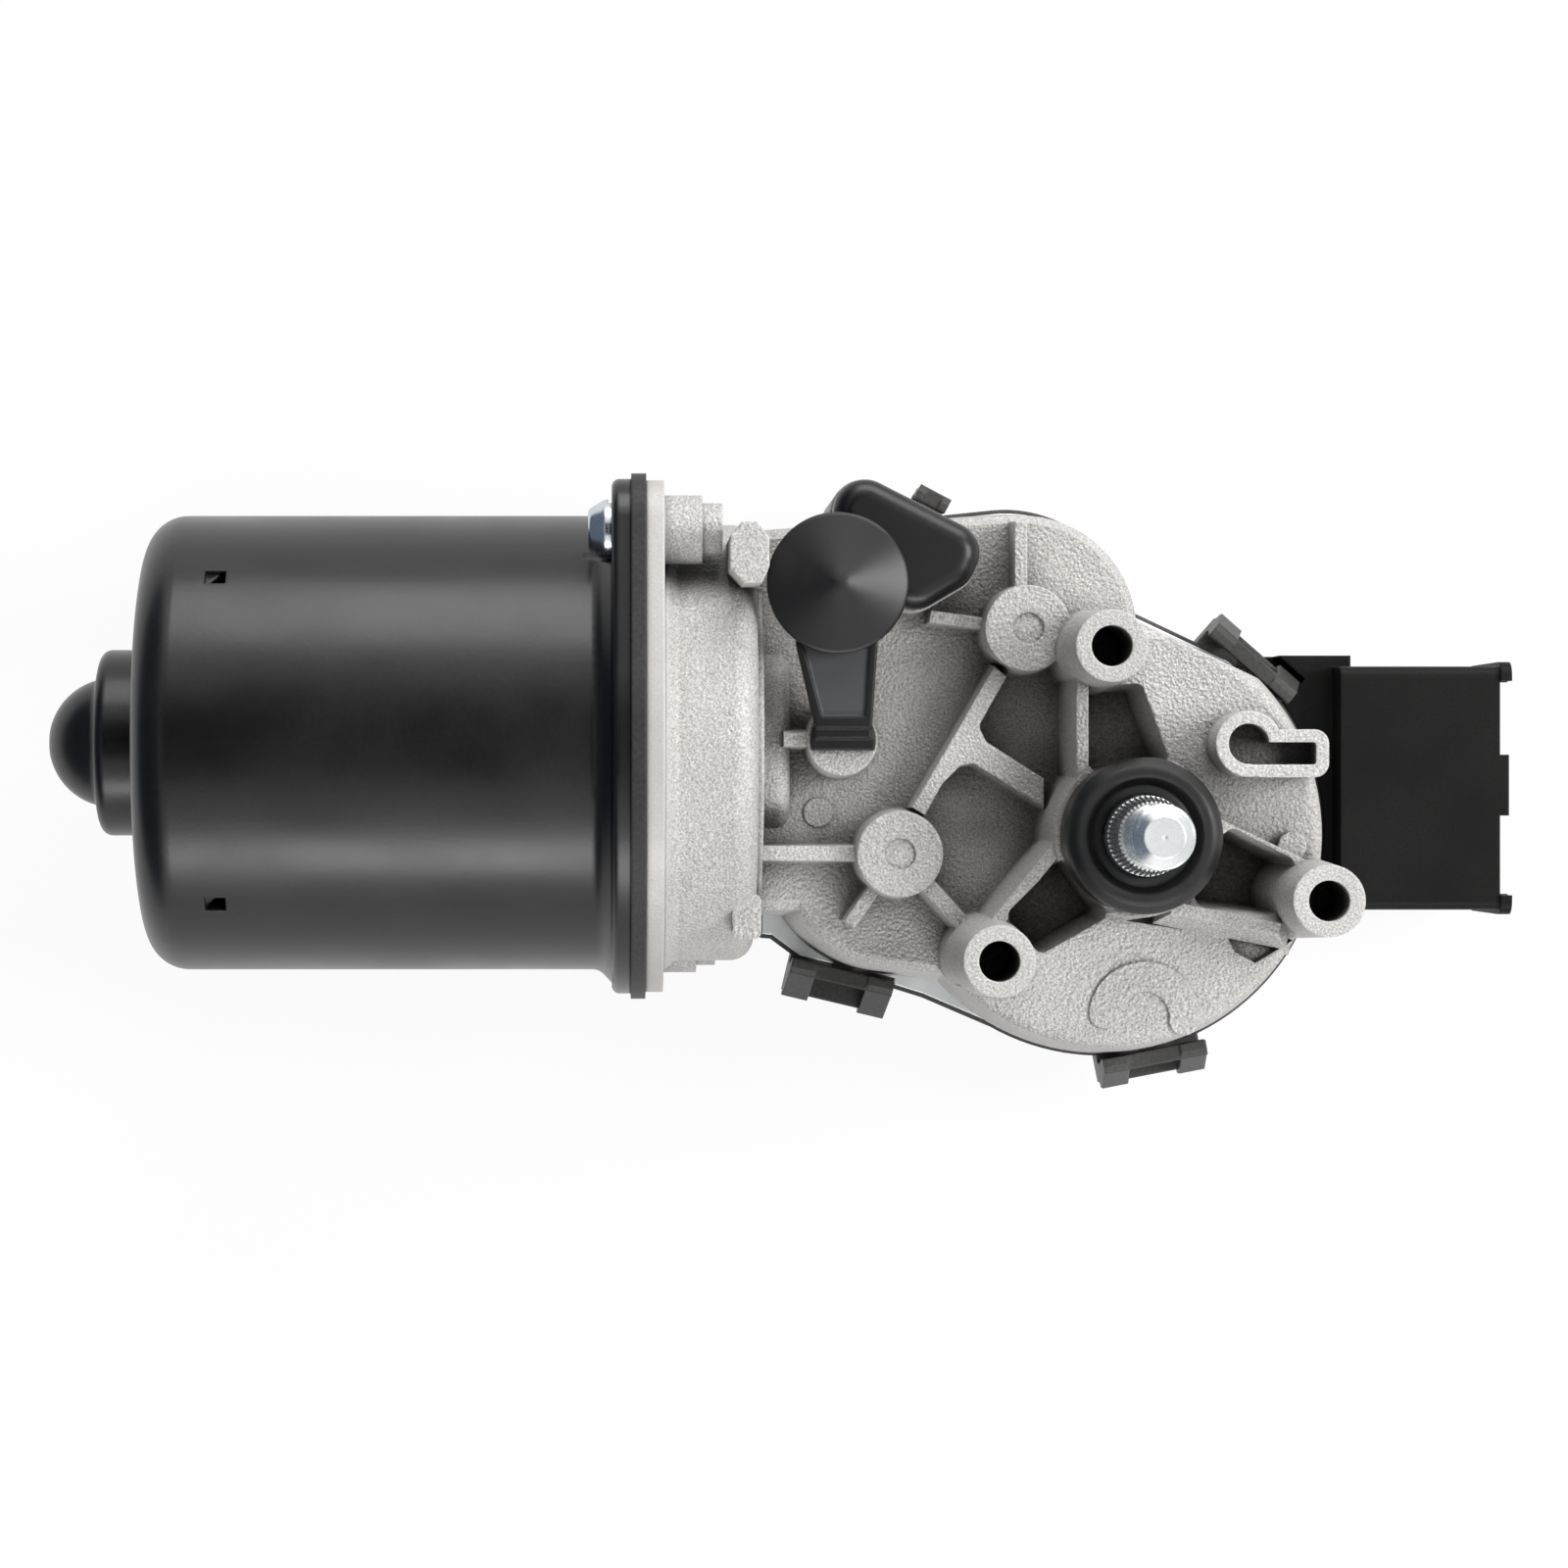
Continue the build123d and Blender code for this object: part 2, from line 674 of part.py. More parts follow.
with BuildPart() as flange_gasket:
    with BuildSketch(across_motor(flange_end_x)):
        ear_outline(flange_radius + gasket_lip, ear_radius + gasket_lip)
        Circle(card_radius + 1.0, mode=Mode.SUBTRACT)
        with Locations(*screw_places):
            Circle(can_screw_radius + seat_clearance, mode=Mode.SUBTRACT)
    extrude(amount=gasket_thickness)
save(flange_gasket, "flange_gasket")

with BuildPart() as can_screws:
    for y, z in screw_places:
        screw_section = Plane(
            origin=(can_flange_x, motor_axis_y + y, motor_axis_z + z), x_dir=(1, 0, 0), z_dir=(0, -1, 0)
        )
        with BuildSketch(screw_section):
            with BuildLine():
                FilletPolyline(
                    (0, 0),
                    (0, can_screw_head_radius),
                    (-0.9, can_screw_head_radius),
                    (-can_screw_head_height, 2.6),
                    (-can_screw_head_height, 0),
                    radius=[0, 1.2, 0.8],
                )
                Line((-can_screw_head_height, 0), (0, 0))
            make_face()
            with Locations((6.2, can_screw_radius / 2)):
                Rectangle(12.4, can_screw_radius)
        revolve(axis=Axis((0, motor_axis_y + y, motor_axis_z + z), (1, 0, 0)))
        with BuildSketch(screw_section.rotated((0, 90, 0)).offset(-can_screw_head_height)):
            Rectangle(4.2, 0.9)
            Rectangle(0.9, 4.2)
        extrude(amount=1.4, both=True, mode=Mode.SUBTRACT)
save(can_screws, "can_screws")

# Armature: shaft with two worms of opposite hand, core, windings, commutator
shaft_rear_x = nose_end_x - 0.7
shaft_front_x = tunnel_end_x - 0.7
worm_shoulder_x = idler_x["lower"] - worm_length / 2 - 2.0


worm_turns = 3.5


def worm_thread(name, lefthand):
    """One worm thread on the motor axis, its crest facing the wheel at the idler's x."""
    start_x = idler_x[name] - worm_turns / 2 * axial_pitch
    slope = math.tan(math.radians(pressure_angle))
    tip_half = axial_pitch / 4 - tooth_backlash / 2 - worm_module * slope
    foot_radius = worm_root_radius - 0.3
    foot_half = tip_half + (worm_tip_radius - foot_radius) * slope
    low_x = idler_x[name] - worm_length / 2
    high_x = idler_x[name] + worm_length / 2
    with BuildPart() as thread:
        with BuildLine():
            Helix(
                axial_pitch,
                worm_turns * axial_pitch,
                worm_pitch_radius,
                center=(start_x, motor_axis_y, motor_axis_z),
                direction=(1, 0, 0),
                lefthand=lefthand,
            )
        with BuildSketch(motor_section):
            with Locations((start_x, 0)):
                Polygon(
                    (-foot_half, foot_radius),
                    (foot_half, foot_radius),
                    (tip_half, worm_tip_radius),
                    (-tip_half, worm_tip_radius),
                    align=None,
                )
        sweep(is_frenet=True)
        with BuildSketch(motor_section):
            Polygon(
                (low_x, 0),
                (high_x, 0),
                (high_x, worm_root_radius),
                (high_x - 1.6, worm_tip_radius + 0.1),
                (low_x + 1.6, worm_tip_radius + 0.1),
                (low_x, worm_root_radius),
                align=None,
            )
        revolve(axis=motor_axis, mode=Mode.INTERSECT)
    return thread.part


with BuildPart() as armature_shaft:
    with BuildSketch(motor_section):
        Polygon(
            (shaft_rear_x, 0),
            (shaft_rear_x, motor_shaft_radius - 0.5),
            (shaft_rear_x + 0.5, motor_shaft_radius),
            (worm_shoulder_x - 1.2, motor_shaft_radius),
            (worm_shoulder_x, worm_root_radius),
            (shaft_front_x - 0.8, worm_root_radius),
            (shaft_front_x, worm_root_radius - 0.8),
            (shaft_front_x, 0),
            align=None,
        )
    revolve(axis=motor_axis)
    add(worm_thread("upper", False))
    add(worm_thread("lower", True))
save(armature_shaft, "armature_shaft")

slot_foot_radius = 10.0
slot_mouth = 1.8
tooth_wall = 3.2
pole_lip = 1.6


def slot_polygon(gap, mode):
    """A tapered winding slot under the pole lip, smaller all round by gap."""
    inner = slot_foot_radius + gap
    outer = core_radius - pole_lip - gap
    half = math.tan(math.pi / core_slots)
    inner_half = inner * half - tooth_wall / 2 - gap
    outer_half = outer * half - tooth_wall / 2 - gap
    Polygon(
        (inner, -inner_half),
        (inner, inner_half),
        (outer, outer_half),
        (outer, -outer_half),
        align=None,
        mode=mode,
    )


with BuildPart() as armature_core:
    with BuildSketch(across_motor(core_start_x)):
        Circle(core_radius)
        with PolarLocations(0, core_slots):
            slot_polygon(0, Mode.SUBTRACT)
        with PolarLocations(core_radius - pole_lip / 2, core_slots):
            Rectangle(2 * pole_lip, slot_mouth, mode=Mode.SUBTRACT)
        Circle(motor_shaft_radius + press_clearance, mode=Mode.SUBTRACT)
    extrude(amount=core_end_x - core_start_x)
save(armature_core, "armature_core")

winding_overhang = 7.0
with BuildPart() as armature_windings:
    with BuildSketch(across_motor(core_start_x)):
        with PolarLocations(0, core_slots):
            slot_polygon(seat_clearance, Mode.ADD)
    extrude(amount=core_end_x - core_start_x)
    for face_x, way in ((core_start_x, -1), (core_end_x, 1)):
        with BuildSketch(motor_section):
            with BuildLine():
                outline(
                    (face_x, slot_foot_radius - 3.5),
                    (face_x, core_radius - pole_lip),
                    (face_x + way * winding_overhang, core_radius - pole_lip - 1.5, 2.4),
                    (face_x + way * winding_overhang, slot_foot_radius - 3.0, 2.0),
                )
            make_face()
        revolve(axis=motor_axis)
save(armature_windings, "armature_windings")

riser_radius = 12.2
with BuildPart() as commutator:
    with BuildSketch(motor_section):
        Polygon(
            (commutator_start_x, motor_shaft_radius + press_clearance),
            (commutator_start_x, riser_radius),
            (commutator_start_x + 2.4, riser_radius),
            (commutator_start_x + 2.4, commutator_radius),
            (commutator_end_x, commutator_radius),
            (commutator_end_x, motor_shaft_radius + press_clearance),
            align=None,
        )
    revolve(axis=motor_axis)
    with BuildSketch(across_motor(commutator_start_x)):
        with PolarLocations(commutator_radius, commutator_bars):
            Rectangle(3.0, 0.6)
    extrude(amount=commutator_end_x - commutator_start_x, mode=Mode.SUBTRACT)
save(commutator, "commutator")

# Ball bearing between commutator and worms
ball_radius = 1.6
ball_circle_radius = (bearing_outer_radius + motor_shaft_radius) / 2 + 0.05
bearing_middle_x = bearing_start_x + bearing_width / 2
inner_race_radius = ball_circle_radius - ball_radius - running_clearance
outer_race_bore = ball_circle_radius + ball_radius + running_clearance

with BuildPart() as bearing_outer_race:
    with BuildSketch(across_motor(bearing_start_x)):
        Circle(bearing_outer_radius)
        Circle(outer_race_bore, mode=Mode.SUBTRACT)
    extrude(amount=bearing_width)
save(bearing_outer_race, "bearing_outer_race")

with BuildPart() as bearing_inner_race:
    with BuildSketch(across_motor(bearing_start_x)):
        Circle(inner_race_radius)
        Circle(motor_shaft_radius + press_clearance, mode=Mode.SUBTRACT)
    extrude(amount=bearing_width)
save(bearing_inner_race, "bearing_inner_race")

with BuildPart() as bearing_balls:
    with BuildSketch(motor_section):
        with BuildLine():
            CenterArc((bearing_middle_x, ball_circle_radius), ball_radius, 0, 180)
            Line(
                (bearing_middle_x - ball_radius, ball_circle_radius),
                (bearing_middle_x + ball_radius, ball_circle_radius),
            )
        make_face()
    ball_axis = Axis((0, motor_axis_y, motor_axis_z + ball_circle_radius), (1, 0, 0))
    one_ball = revolve(axis=ball_axis, mode=Mode.PRIVATE)
    with Locations(across_motor(0)):
        with PolarLocations(0, 7):
            add(across_motor(0).to_local_coords(one_ball))
save(bearing_balls, "bearing_balls")

retainer_thickness = 1.0
with BuildPart() as bearing_retainer:
    with BuildSketch(across_motor(bearing_start_x - retainer_thickness)):
        Circle(bearing_outer_radius + 5)
        Circle(outer_race_bore - 0.4, mode=Mode.SUBTRACT)
    extrude(amount=retainer_thickness)
save(bearing_retainer, "bearing_retainer")

# Rear bush, self-aligning in the nose of the can, and the two thrust points
bush_equator = nose_radius - can_wall - press_clearance
rear_bush_width = 5.4
rear_bush_x = nose_end_x + can_wall + rear_bush_width / 2 + 0.1
rear_face_radius = bush_equator - 1.4
with BuildPart() as rear_bush:
    with BuildSketch(motor_section):
        with BuildLine():
            bore = motor_shaft_radius + running_clearance
            Polyline(
                (rear_bush_x - rear_bush_width / 2, rear_face_radius),
                (rear_bush_x - rear_bush_width / 2, bore),
                (rear_bush_x + rear_bush_width / 2, bore),
                (rear_bush_x + rear_bush_width / 2, rear_face_radius),
            )
            ThreePointArc(
                (rear_bush_x - rear_bush_width / 2, rear_face_radius),
                (rear_bush_x, bush_equator),
                (rear_bush_x + rear_bush_width / 2, rear_face_radius),
            )
        make_face()
    revolve(axis=motor_axis)
save(rear_bush, "rear_bush")

thrust_ball_radius = 2.0
with BuildPart() as thrust_ball:
    with Locations((dome_tip_x + can_wall + thrust_ball_radius + 0.02, motor_axis_y, motor_axis_z)):
        Sphere(thrust_ball_radius)
save(thrust_ball, "thrust_ball")

with BuildPart() as thrust_pad:
    with BuildSketch(across_motor(tunnel_end_x)):
        Circle(3.4)
    extrude(amount=-(tunnel_end_x - shaft_front_x - seat_clearance))
save(thrust_pad, "thrust_pad")

# Four arc magnets on the can wall
with BuildPart() as field_magnets:
    with BuildSketch(across_motor(core_start_x - 1.5)):
        Circle(magnet_outer_radius)
        Circle(magnet_inner_radius, mode=Mode.SUBTRACT)
        with PolarLocations(0, 4):
            Rectangle(2 * can_radius, 9.0, mode=Mode.SUBTRACT)
    extrude(amount=core_end_x - core_start_x + 6)
save(field_magnets, "field_magnets")


# Brush gear: card, three holders, three brushes and their springs, two chokes
def radial_plane(x, angle):
    """The plane through the motor axis at x that faces outward at this angle."""
    return Plane(
        origin=(x, motor_axis_y, motor_axis_z), x_dir=(1, 0, 0), z_dir=(0, *polar(1, angle))
    )


brush_start = commutator_radius + seat_clearance
brush_end = brush_start + brush_length
holder_start = commutator_radius + 1.4
holder_end = card_radius - 0.6
spring_start = brush_end + 0.1
spring_end = holder_end - 0.9
card_x = commutator_end_x + 1.0
holder_wall = 0.8

with BuildPart() as brush_card:
    with BuildSketch(across_motor(card_x)):
        Circle(card_radius)
        Circle(motor_shaft_radius + 5, mode=Mode.SUBTRACT)
    extrude(amount=card_thickness)
save(brush_card, "brush_card")

with BuildPart() as brush_holders:
    for angle in brush_angles.values():
        plane = radial_plane(brush_x, angle)
        side_x = brush_height / 2 + running_clearance + holder_wall
        side = brush_width + 2 * running_clearance + 2 * holder_wall
        foot_x = card_x - brush_x
        with BuildSketch(plane.offset(holder_start)):
            with Locations(((foot_x - side_x) / 2, 0)):
                Rectangle(foot_x + side_x, side)
        extrude(amount=holder_end - holder_start)
        with BuildSketch(plane.offset(holder_start)):
            Rectangle(brush_height + 2 * running_clearance, brush_width + 2 * running_clearance)
        extrude(amount=holder_end - holder_wall - holder_start, mode=Mode.SUBTRACT)
save(brush_holders, "brush_holders")

for name, angle in brush_angles.items():
    plane = radial_plane(brush_x, angle)
    with BuildPart() as brush:
        with BuildSketch(plane.offset(commutator_radius - 2)):
            Rectangle(brush_height, brush_width)
        extrude(amount=brush_end - commutator_radius + 2)
        with BuildSketch(across_motor(brush_x - brush_height)):
            Circle(brush_start)
        extrude(amount=2 * brush_height, mode=Mode.SUBTRACT)
    save(brush, f"brush_{name}")

spring_wire = 0.45
spring_turns = 3
for name, angle in brush_angles.items():
    plane = radial_plane(brush_x, angle)
    free = spring_end - spring_start - spring_wire
    spring_foot = (0, 0, spring_start + spring_wire / 2)
    with BuildPart() as brush_spring:
        with BuildLine(plane) as coil:
            Helix(free / spring_turns, free, 1.3, center=spring_foot, direction=plane.z_dir)
        start = coil.line @ 0
        outward = start - plane.from_local_coords(spring_foot)
        with BuildSketch(Plane(origin=start, x_dir=outward, z_dir=coil.line % 0)):
            Rectangle(spring_wire, spring_wire)
        sweep(path=coil.line, is_frenet=True)
    save(brush_spring, f"brush_spring_{name}")

choke_places = (60.0, 240.0)
with BuildPart() as choke_coils:
    for angle in choke_places:
        with BuildSketch(radial_plane(card_x - 3.2, angle).offset(15)):
            Circle(2.6)
        extrude(amount=8.5)
save(choke_coils, "choke_coils")

# Idlers: helical wheels and spur pinions on fixed axles
wheel_bore = 6.0
wheel_space = {"upper": -math.pi / 2, "lower": math.pi / 2}
wheel_hand = {"upper": 1, "lower": -1}
output_pitch_angle = 2 * math.pi / output_teeth
pinion_foot_z = gear_foot_z - 0.5


def pinion_first_tooth(name):
    """Turns the pinion so that one of its spaces takes the nearest output tooth."""
    toward = math.atan2(idler_y[name], idler_x[name])
    offset_angle = round(toward / output_pitch_angle) * output_pitch_angle - toward
    space = toward + math.pi - offset_angle * output_teeth / pinion_teeth
    return space + math.pi / pinion_teeth


for name in ("upper", "lower"):
    turn_per_mm = wheel_hand[name] * math.tan(lead_angle) / wheel_radius
    wheel_tooth = wheel_space[name] + math.pi / wheel_teeth
    with BuildPart() as worm_wheel:
        for level in (wheel_foot_z, motor_axis_z, wheel_top_z):
            with BuildSketch(Plane.XY.offset(level)):
                with Locations(idlers[name]):
                    twist = (level - motor_axis_z) * turn_per_mm
                    Polygon(*gear_outline(worm_module, wheel_teeth, wheel_tooth + twist), align=None)
        loft(ruled=True)
        with BuildSketch(Plane.XY.offset(wheel_foot_z)):
            with Locations(idlers[name]):
                Circle(wheel_bore)
        extrude(amount=wheel_height, mode=Mode.SUBTRACT)
    save(worm_wheel, f"worm_wheel_{name}")

    with BuildPart() as pinion:
        with BuildSketch(Plane.XY.offset(pinion_foot_z)):
            with Locations(idlers[name]):
                Polygon(
                    *gear_outline(pinion_module, pinion_teeth, pinion_first_tooth(name)), align=None
                )
        extrude(amount=wheel_foot_z - pinion_foot_z)
        with BuildSketch(Plane.XY.offset(wheel_foot_z)):
            with Locations(idlers[name]):
                Circle(wheel_bore - press_clearance)
        extrude(amount=wheel_height)
        with BuildSketch(Plane.XY.offset(pinion_foot_z)):
            with Locations(idlers[name]):
                Circle(axle_radius + running_clearance)
        extrude(amount=wheel_top_z - pinion_foot_z, mode=Mode.SUBTRACT)
    save(pinion, f"pinion_{name}")

with BuildPart() as idler_axles:
    with BuildSketch(Plane.XY.offset(joint_z + 0.2)):
        with Locations(*idlers.values()):
            Circle(axle_radius)
    extrude(amount=axle_top_z - joint_z - 0.2)
save(idler_axles, "idler_axles")

# Output: gear, shaft, bush, seals and their fastenings
hub_radius = 9.0
rim_width = 3.2
web_thickness = 3.0
with BuildPart() as output_gear:
    with BuildSketch(Plane.XY.offset(gear_foot_z)):
        Polygon(*gear_outline(pinion_module, output_teeth, 0), align=None)
    extrude(amount=output_gear_height)
    with BuildSketch(Plane.XY.offset(gear_top_z)):
        Circle(output_radius - 1.25 * pinion_module - rim_width)
        Circle(hub_radius, mode=Mode.SUBTRACT)
    extrude(amount=web_thickness - output_gear_height, mode=Mode.SUBTRACT)
    with BuildSketch(Plane.XY.offset(gear_foot_z)):
        Circle(shaft_radius + press_clearance)
    extrude(amount=output_gear_height, mode=Mode.SUBTRACT)
save(output_gear, "output_gear")

groove_foot_z = neck_top_z + 0.75
groove_top_z = groove_foot_z + clip_thickness + 0.1
groove_radius = shaft_radius - 0.5
thread_foot_z = taper_foot_z + taper_length
serration_depth = 0.32
with BuildPart() as serration:
    for level, radius in ((taper_foot_z, shaft_radius), (thread_foot_z, shaft_end_radius + 0.35)):
        with BuildSketch(Plane.XY.offset(level)):
            with Locations((radius - serration_depth, 0)):
                Polygon((0, 0), (0.7, -0.5), (0.7, 0.5), align=None)
    loft()

with BuildPart() as output_shaft:
    with BuildSketch(Plane.XZ):
        Polygon(
            (0, gear_foot_z - 0.8),
            (shaft_radius - 0.5, gear_foot_z - 0.8),
            (shaft_radius, gear_foot_z - 0.3),
            (shaft_radius, groove_foot_z),
            (groove_radius, groove_foot_z),
            (groove_radius, groove_top_z),
            (shaft_radius, groove_top_z),
            (shaft_radius, taper_foot_z),
            (shaft_end_radius + 0.35, thread_foot_z),
            (shaft_end_radius, thread_foot_z + 0.4),
            (shaft_end_radius, shaft_top_z - 1.5),
            (shaft_tip_radius, shaft_top_z),
            (0, shaft_top_z),
            align=None,
        )
    revolve(axis=Axis.Z)
    with PolarLocations(0, serrations):
        add(serration.part, mode=Mode.SUBTRACT)
save(output_shaft, "output_shaft")

washer_bore = shaft_radius + seat_clearance
with BuildPart() as thrust_washer:
    with BuildSketch(Plane.XY.offset(gear_top_z + seat_clearance)):
        Circle(hub_radius)
        Circle(washer_bore, mode=Mode.SUBTRACT)
    extrude(amount=washer_thickness)
save(thrust_washer, "thrust_washer")

with BuildPart() as output_bush:
    with BuildSketch(Plane.XY.offset(chamber_top_z)):
        Circle(bush_radius)
        Circle(shaft_radius + running_clearance, mode=Mode.SUBTRACT)
    extrude(amount=bush_top_z - chamber_top_z)
save(output_bush, "output_bush")

ring_wire = bush_wall / 2
with BuildPart() as shaft_o_ring:
    with Locations((0, 0, bush_top_z + ring_height / 2)):
        Torus(bush_radius - ring_wire, ring_wire)
save(shaft_o_ring, "shaft_o_ring")

with BuildPart() as retaining_washer:
    with BuildSketch(Plane.XY.offset(neck_top_z)):
        Circle(neck_radius - 0.8)
        Circle(washer_bore, mode=Mode.SUBTRACT)
    extrude(amount=washer_thickness)
save(retaining_washer, "retaining_washer")

with BuildPart() as retaining_clip:
    with BuildSketch(Plane.XY.offset(groove_foot_z + running_clearance)):
        Circle(groove_radius + 2.1)
        Circle(groove_radius + running_clearance, mode=Mode.SUBTRACT)
        with Locations((0, -5.6)):
            Rectangle(3.4, 5, mode=Mode.SUBTRACT)
    extrude(amount=clip_thickness)
save(retaining_clip, "retaining_clip")

with BuildPart() as shaft_seal:
    with BuildSketch(Plane.XZ):
        with BuildLine():
            outline(
                (neck_radius + seat_clearance, seal_foot_z),
                (seal_radius, seal_foot_z),
                (seal_radius, seal_top_z - 1.2, 0.9),
                (seal_radius - 1.2, seal_top_z),
                (seal_radius - 2.4, seal_top_z),
                (6.7, seal_top_z - 1.2, 0.4),
                (6.3, seal_top_z - 2.2, 0.4),
                (shaft_radius + seat_clearance, seal_top_z - 2.4),
                (shaft_radius + seat_clearance, seal_top_z - 4.4),
                (neck_radius + seat_clearance, seal_top_z - 4.4),
            )
        make_face()
    revolve(axis=Axis.Z)
save(shaft_seal, "shaft_seal")

# Park switch: a broken ring under the output gear and three fingers that wipe it
ring_thickness = 0.5
with BuildPart() as park_contact_plate:
    with BuildSketch(Plane.XY.offset(gear_foot_z - ring_thickness)):
        Circle(22.0)
        Circle(10.0, mode=Mode.SUBTRACT)
        with Locations((18, 0)):
            Rectangle(10, 7, mode=Mode.SUBTRACT)
    extrude(amount=ring_thickness)
save(park_contact_plate, "park_contact_plate")

finger_rows = (-11.5, -15.5, -19.5)
finger_top_z = gear_foot_z - ring_thickness - seat_clearance
carrier_foot_z = cover_z - 2.0
with BuildPart() as park_contacts:
    for y in finger_rows:
        with BuildSketch(Plane(origin=(0, y, 0), x_dir=(1, 0, 0), z_dir=(0, -1, 0))):
            with BuildLine():
                FilletPolyline(
                    (-17.0, carrier_foot_z - 0.15),
                    (-8.5, carrier_foot_z - 0.15),
                    (0, finger_top_z - 0.15),
                    (1.8, finger_top_z - 1.0),
                    radius=[1.0, 0.8],
                )
            trace(line_width=0.3)
        extrude(amount=1.1, both=True)
save(park_contacts, "park_contacts")

with BuildPart() as contact_carrier:
    with BuildSketch(Plane.XY.offset(carrier_foot_z)):
        with Locations((-13.5, -15.5)):
            RectangleRounded(9, 13, 1)
    extrude(amount=cover_z - carrier_foot_z)
save(contact_carrier, "contact_carrier")

# Outline shared by the steel cover plate and the plastic back cover
plate_radius = 29.8
cover_left_x = collar_end_x + 1.2 + cover_overhang
cover_flat = chord_at_joint + 0.3
cover_corners = (
    (cover_left_x, 0),
    (cover_left_x, -13.8),
    (-44.7, -13.9),
    (-40.9, -16.7),
    (-37.0, -19.4),
    (-28.6, -20.5),
    (-24.1, -21.9),
    (-15.0, -25.8),
    (0, 0),
)


def cover_section(level, grow):
    """The cover outline at this level, larger all round by grow."""
    with BuildSketch() as lobe:
        with Locations(idlers["upper"]):
            Circle(upper_lobe_radius + 0.1)
        with Locations((cover_left_x + 8.6, 15)):
            Rectangle(17.2, 50)
        make_hull()
    with BuildSketch(Plane.XY.offset(level)) as section:
        Circle(plate_radius)
        with Locations(Location((*polar(cover_flat + 20, chord_angle), 0), chord_angle)):
            Rectangle(40, 120, mode=Mode.SUBTRACT)
        with BuildLine():
            Polyline(*cover_corners, close=True)
        make_face()
        add(lobe.sketch)
        offset(amount=grow)
    return section.sketch


# Steel cover plate over the gear case
with BuildPart() as cover_plate:
    extrude(cover_section(cover_z, 0), amount=cover_plate_thickness)
    with BuildSketch(Plane.XY.offset(cover_z)):
        with Locations((-2.5, -15.5)):
            Rectangle(11, 12)
        for x, y, turn, span, reach in latches:
            with Locations(Location((x, y, 0), turn) * Location((10.2, 0, 0))):
                Rectangle(20, span + 0.6)
    extrude(amount=cover_plate_thickness, mode=Mode.SUBTRACT)
save(cover_plate, "cover_plate")

# Plastic back cover with four latches over the lugs of the casting
back_z = cover_z - back_cover_depth
arm_start = 0.6
bar_width = 2.0
block_back = 8.0
block_z = back_z + 6
back_step = 1.0
with BuildPart() as back_cover:
    extrude(cover_section(back_z, cover_overhang - 0.8), amount=back_step)
    walls = cover_section(back_z + back_step, cover_overhang)
    extrude(walls, amount=back_cover_depth - back_step)
    for x, y, turn, span, reach in latches:
        latch = Plane(Location((x, y, 0), turn))
        with BuildSketch(latch.offset(block_z)):
            with Locations(((reach - block_back) / 2, 0)):
                Rectangle(reach + block_back, span)
        extrude(amount=cover_z - block_z)
    hollow = cover_section(back_z + back_cover_wall, cover_overhang - back_cover_wall)
    extrude(hollow, amount=back_cover_depth, mode=Mode.SUBTRACT)
    for x, y, turn, span, reach in latches:
        latch = Plane(Location((x, y, 0), turn))
        arm_width = span / 4
        for side in (-1, 1):
            middle = side * (span - arm_width) / 2
            arm = Plane(
                origin=latch.from_local_coords((0, middle, 0)), x_dir=latch.x_dir, z_dir=-latch.y_dir
            )
            with BuildSketch(arm):
                Polygon(
                    (arm_start + 0.9, cover_z - 2),
                    (arm_start + reach, cover_z - 2),
                    (arm_start + reach, cover_z + 0.5),
                    (arm_start + 1.6, latch_top_z - 0.4),
                    (arm_start + 1.2, latch_top_z),
                    (arm_start, latch_top_z),
                    (arm_start, latch_top_z - 1.4),
                    (arm_start + 0.9, latch_top_z - 5.4),
                    align=None,
                )
            extrude(amount=arm_width / 2, both=True)
        with BuildSketch(latch.offset(latch_top_z - 2.4)):
            with Locations((arm_start + bar_width / 2, 0)):
                Rectangle(bar_width, span)
        extrude(amount=2.0)
save(back_cover, "back_cover")

